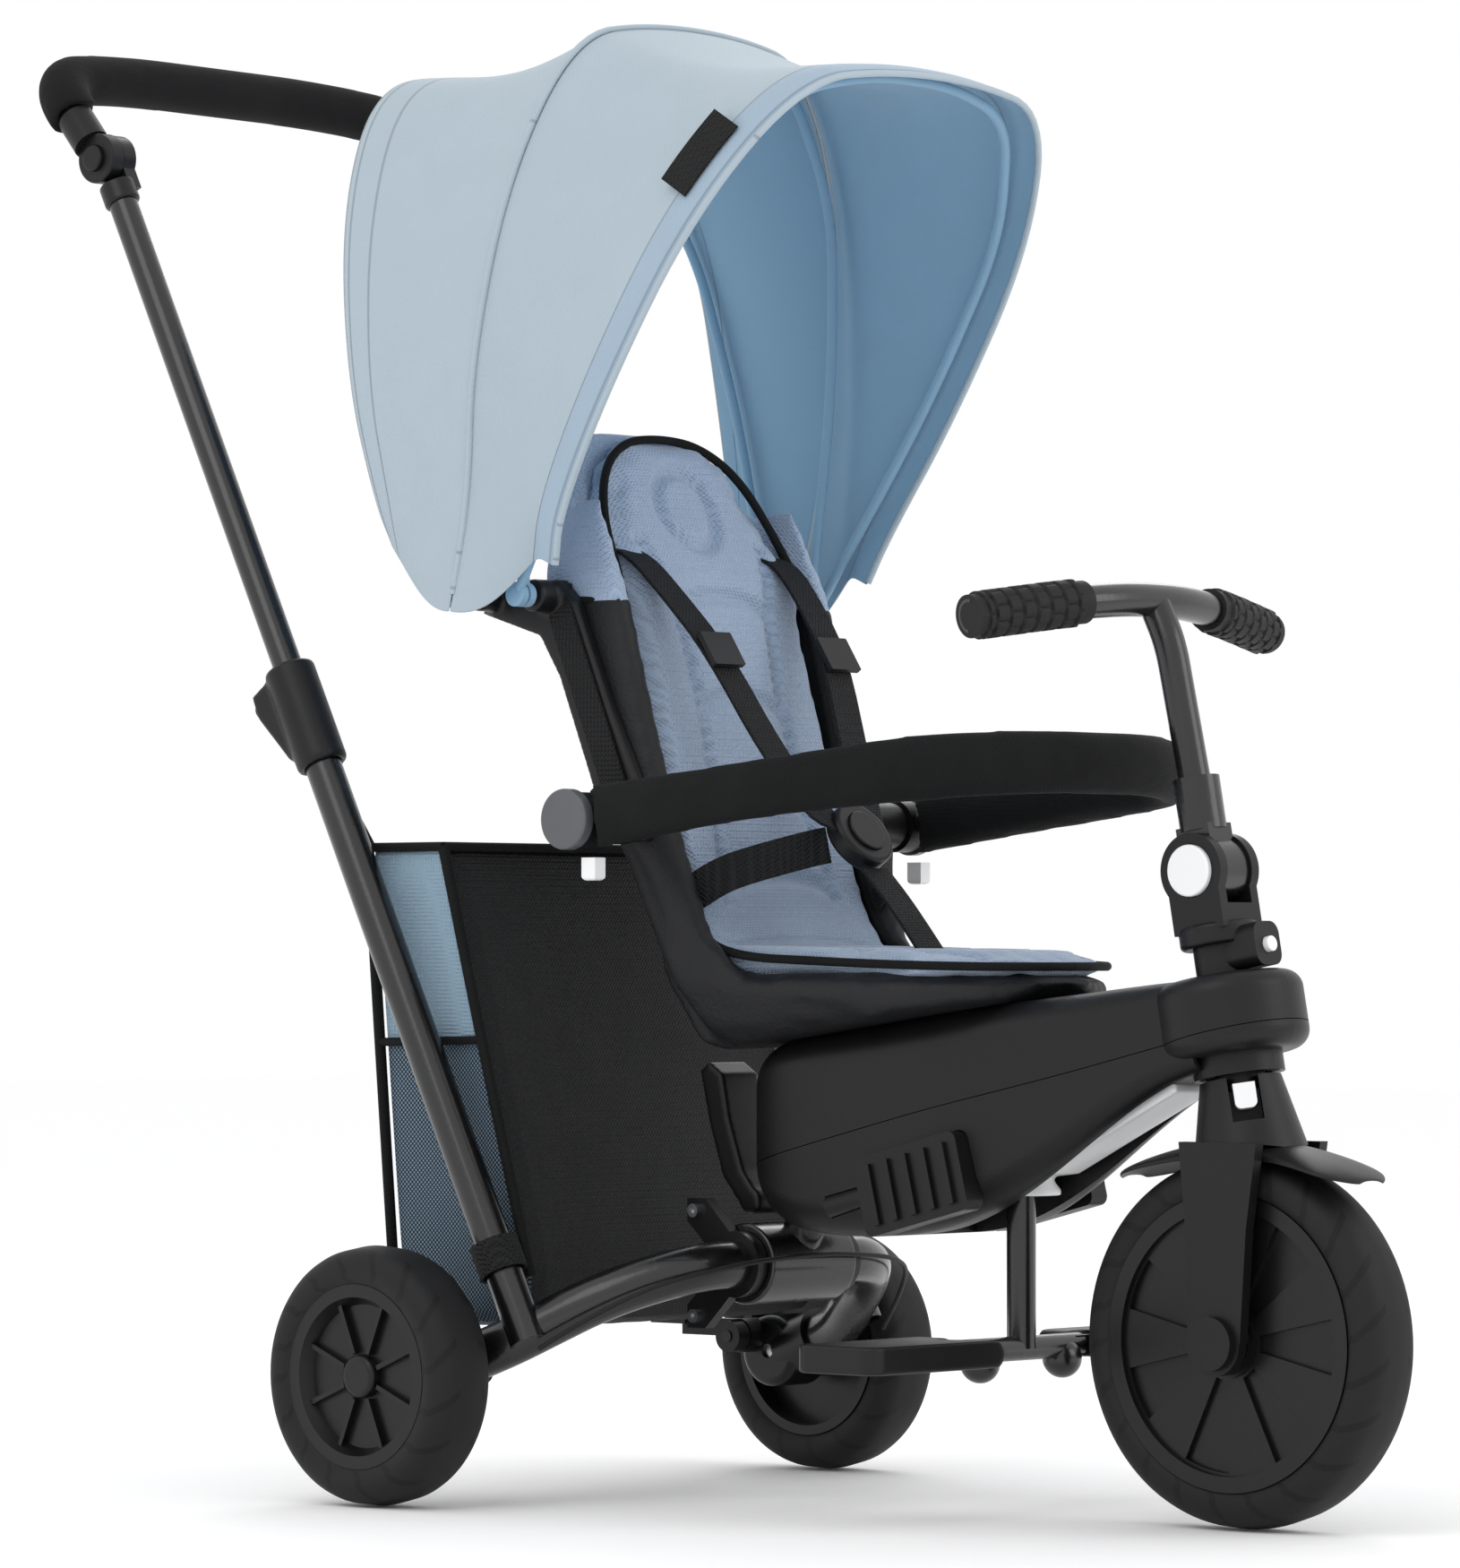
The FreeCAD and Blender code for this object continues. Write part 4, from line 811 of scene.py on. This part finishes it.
def make_grips(sizes):
    """Moulded grips covered in interlocking raised chevrons."""
    line = eased(both_sides([(444, 153, 573), (463, 74, 584), (470, 26, 588)]), 4)
    for word, sign in (("right", -1), ("left", 1)):
        part = [p for p in line if 0.062 < sign * p.y < 0.16]
        part = part if sign == -1 else part[::-1]
        part = eased(part, 2)
        rows = tube_rows(part, lambda t: oval(0.0138, 0.0138, 48))
        raised = []
        for i, row in enumerate(rows):
            along = (part[i] - part[0]).length
            ring = []
            for j, place in enumerate(row):
                angle = j / 48 * 8
                wave = abs((angle + 0.5 * (int(along / 0.011) % 2)) % 1 - 0.5) * 2
                step = abs((along / 0.011) % 1 - 0.5) * 2
                up = 1 if wave < 0.78 and step < 0.8 else 0
                ends = 0.007 < along < 0.083
                ring.append(place + (place - part[i]).normalized() * sizes.tread * up * ends)
            raised.append(ring)
        bm = extruded_rows(raised, closed=True, capped=True)
        made = finished(f"bar_grip_{word}", bm, "handlebar", "rubber", "elastomer", sharp=50)
        if sign == -1:
            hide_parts("handlebar_grips")


# ------------------------------------------------------------------------ bag
def bag_ring(z, wide, front, back, pull=0.0):
    """The bag's outline at one height, sides pulled in a little between the corners."""
    corners = [(front, -wide), (front, wide), (back, wide), (back, -wide)]
    ring = []
    for (x0, y0), (x1, y1) in zip(corners, corners[1:] + corners[:1]):
        for n in range(8):
            t = n / 8
            sag = pull * math.sin(math.pi * t)
            x, y = x0 + (x1 - x0) * t, y0 + (y1 - y0) * t
            x -= sag * (1 if x > (front + back) / 2 else -1) if x0 == x1 else 0
            y -= sag * (1 if y > 0 else -1) if y0 == y1 else 0
            ring.append(at(x, y, z))
    return ring


BAND_R = 0.0155                # the hook-and-loop band round each push tube


def make_bag():
    heights = [(434, -14, -84), (400, -4, -81), (340, 13, -76), (305, 23, -73), (250, 38, -69),
               (190, 55, -64), (150, 66, -60), (124, 62, -54), (111, 50, -44)]
    rows = [bag_ring(z, 150, front, back, pull=3 if 130 < z < 430 else 1)
            for z, front, back in heights]
    bm = extruded_rows(rows, closed=True)
    bottom = [e for e in bm.edges if e.is_boundary and e.verts[0].co.z < 0.12]
    bmesh.ops.contextual_create(bm, geom=bottom)
    bmesh.ops.recalc_face_normals(bm, faces=bm.faces)
    bm.normal_update()
    for face in bm.faces:
        middle = face.calc_center_median()
        if abs(middle.y) > 0.138 and abs(face.normal.y) > 0.5:
            face.material_index = 1 if middle.z > 0.305 else 2
    bag = finished("storage_bag_cloth", bm, "rear_frame", "black_fabric",
                   "oxford_nylon_black", "coated_nylon_blue", "knitted_net", sharp=60)
    wall = bag.modifiers.new("wall", "SOLIDIFY")
    wall.thickness, wall.offset = 0.0018, -1
    finer = bag.modifiers.new("finer", "SUBSURF")
    finer.levels = finer.render_levels = 1
    apply_modifiers(bag)
    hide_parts("storage_bag")
    block("bag_tab", (30, -153, 262), (31.5, -150.5, 276), 0.4, "rear_frame", "webbing",
          "ribbed_webbing")
    rim = [bag_ring(434, 151, -13, -85)[n] for n in range(32)]
    cord_line("bag_rim_binding", rim + rim[:1], 0.0032, "rear_frame", "black_fabric",
              "stretch_knit_black")
    for side in (-1, 1):
        word = "right" if side == -1 else "left"
        for label, x0, x1 in (("front", -14, 66), ("back", -84, -58)):
            line = [at(x0, side * 150, 434), at((x0 + x1) / 2, side * 151, 292),
                    at(x1, side * 150, 150 if label == "front" else 130)]
            cord_line(f"bag_{label}_binding_{word}", eased(line, 2), 0.0038, "rear_frame",
                      "black_fabric", "stretch_knit_black")
        band = [at(23, side * 151, 305), at(-73, side * 151, 303)]
        cord_line(f"bag_pocket_binding_{word}", band, 0.003, "rear_frame", "black_fabric",
                  "stretch_knit_black")
        hang = [at(-118, side * 166, 494), at(-104, side * 160, 470), at(-84, side * 152, 432)]
        lean, foot = math.radians(26.5), at(56, side * 170, 162)
        turn = Vector((math.cos(lean), 0, math.sin(lean)))
        band = [foot + (turn * math.sin(a) + Vector((0, math.cos(a), 0))) * BAND_R
                for a in [n / 24 * math.tau for n in range(25)]]
        strap(f"tube_band_{word}", band, 0.022, 0.002, Vector((-math.sin(lean), 0, math.cos(lean))),
              "rear_frame")
        strap(f"bag_hanger_{word}", eased(hang, 2), 0.018, 0.002, Vector((1, 0, 0)),
              "rear_frame")


# ---------------------------------------------------------------------- stage
def make_stage():
    bm = bmesh.new()
    bmesh.ops.create_grid(bm, x_segments=1, y_segments=1, size=12)
    bmesh.ops.translate(bm, vec=(0, 0, -0.0005), verts=bm.verts)
    if "paper_floor" not in bpy.data.materials:
        finish("paper_floor", "#FEFEFF", 0.95, speckled(0.02), 0.00005, mottle=0.003)
    floor = finished("floor", bm, None, None, "paper_floor")
    world = bpy.data.worlds.new("studio")
    world.use_nodes = True
    background = world.node_tree.nodes["Background"]
    background.inputs[0].default_value = (1, 1, 1, 1)
    background.inputs[1].default_value = 1.0
    bpy.context.scene.world = world
    bpy.context.scene.view_settings.view_transform = "Standard"
    for name, place, size, power in (("key", (0.4, -2.6, 2.6), 1.8, 16),
                                     ("back", (-1.6, 2.2, 2.4), 1.6, 16),
                                     ("side", (2.6, 0.9, 1.5), 1.4, 12)):
        lamp = bpy.data.lights.new(name, "AREA")
        lamp.energy, lamp.size = power, size
        holder = bpy.data.objects.new(name, lamp)
        holder.location = place
        aim = Vector((0, 0, 0.45)) - Vector(place)
        holder.rotation_euler = aim.to_track_quat("-Z", "Y").to_euler()
        bpy.context.scene.collection.objects.link(holder)
    camera = bpy.data.cameras.new("camera")
    camera.lens, camera.sensor_width = 162.75, 36
    eye = bpy.data.objects.new("camera", camera)
    eye.location = (3.2666 - X_MIDDLE / 1000, -3.5671, 0.361)
    eye.rotation_euler = (math.radians(91.388), 0, math.radians(41.516))
    bpy.context.scene.collection.objects.link(eye)
    bpy.context.scene.camera = eye


# ------------------------------------------------------------------ operators
def maker(suffix, label, about, work):
    """The operator class that makes one group of pieces."""
    def execute(self, context):
        work(context.scene.tricycle_sizes, context.scene.tricycle_colours)
        return {"FINISHED"}
    return type(f"TRICYCLE_OT_{suffix}", (bpy.types.Operator,), {
        "bl_idname": f"tricycle.{suffix}", "bl_label": label, "__doc__": about,
        "execute": execute})


MAKERS = [
    maker("stage", "Stage", "Makes the floor, the lights and the camera",
          lambda sizes, colours: make_stage()),
    maker("finishes", "Finishes", "Makes the materials and dresses the kept nodes",
          lambda sizes, colours: (make_materials(colours), dress_frame())),
    maker("tyres", "Tyres", "Spins the three tyres with their tread",
          lambda sizes, colours: make_tyres()),
    maker("mouldings", "Mouldings", "Softens the guard, pads and moulded covers",
          lambda sizes, colours: make_mouldings()),
    maker("brake_cable", "Brake cable", "Runs the brake's cable from wheel to wheel",
          lambda sizes, colours: make_brake_cable()),
    maker("canopy", "Canopy", "Stretches the canopy cloth over its ribs",
          lambda sizes, colours: make_canopy(sizes)),
    maker("seat", "Seat", "Stuffs the seat bucket and its quilted liner",
          lambda sizes, colours: make_seat(sizes)),
    maker("harness", "Harness", "Lays the harness webbing",
          lambda sizes, colours: make_harness()),
    maker("safety_bar", "Safety bar", "Pads the safety bar",
          lambda sizes, colours: make_safety_bar()),
    maker("handle", "Handle sleeve", "Sleeves the push handle in foam",
          lambda sizes, colours: make_handle_foam()),
    maker("grips", "Grips", "Moulds the handlebar grips",
          lambda sizes, colours: make_grips(sizes)),
    maker("bag", "Bag", "Hangs the storage bag with its bindings",
          lambda sizes, colours: make_bag()),
]


class TRICYCLE_PT_panel(bpy.types.Panel):
    """Lists the tricycle's settings and the operators that make its pieces"""
    bl_label = "Tricycle"
    bl_space_type = "VIEW_3D"
    bl_region_type = "UI"
    bl_category = "Tricycle"

    def draw(self, context):
        for group in (context.scene.tricycle_sizes, context.scene.tricycle_colours):
            for name in group.__annotations__:
                self.layout.prop(group, name)
        for operator in MAKERS:
            self.layout.operator(operator.bl_idname)


CLASSES = [TricycleColours, TricycleSizes, *MAKERS, TRICYCLE_PT_panel]


def register():
    for cls in CLASSES:
        bpy.utils.register_class(cls)
    bpy.types.Scene.tricycle_colours = PointerProperty(type=TricycleColours)
    bpy.types.Scene.tricycle_sizes = PointerProperty(type=TricycleSizes)


def unregister():
    del bpy.types.Scene.tricycle_colours
    del bpy.types.Scene.tricycle_sizes
    for cls in reversed(CLASSES):
        bpy.utils.unregister_class(cls)


def main():
    register()
    for operator in MAKERS:
        group, name = operator.bl_idname.split(".")
        getattr(getattr(bpy.ops, group), name)()


if __name__ == "__main__":
    main()
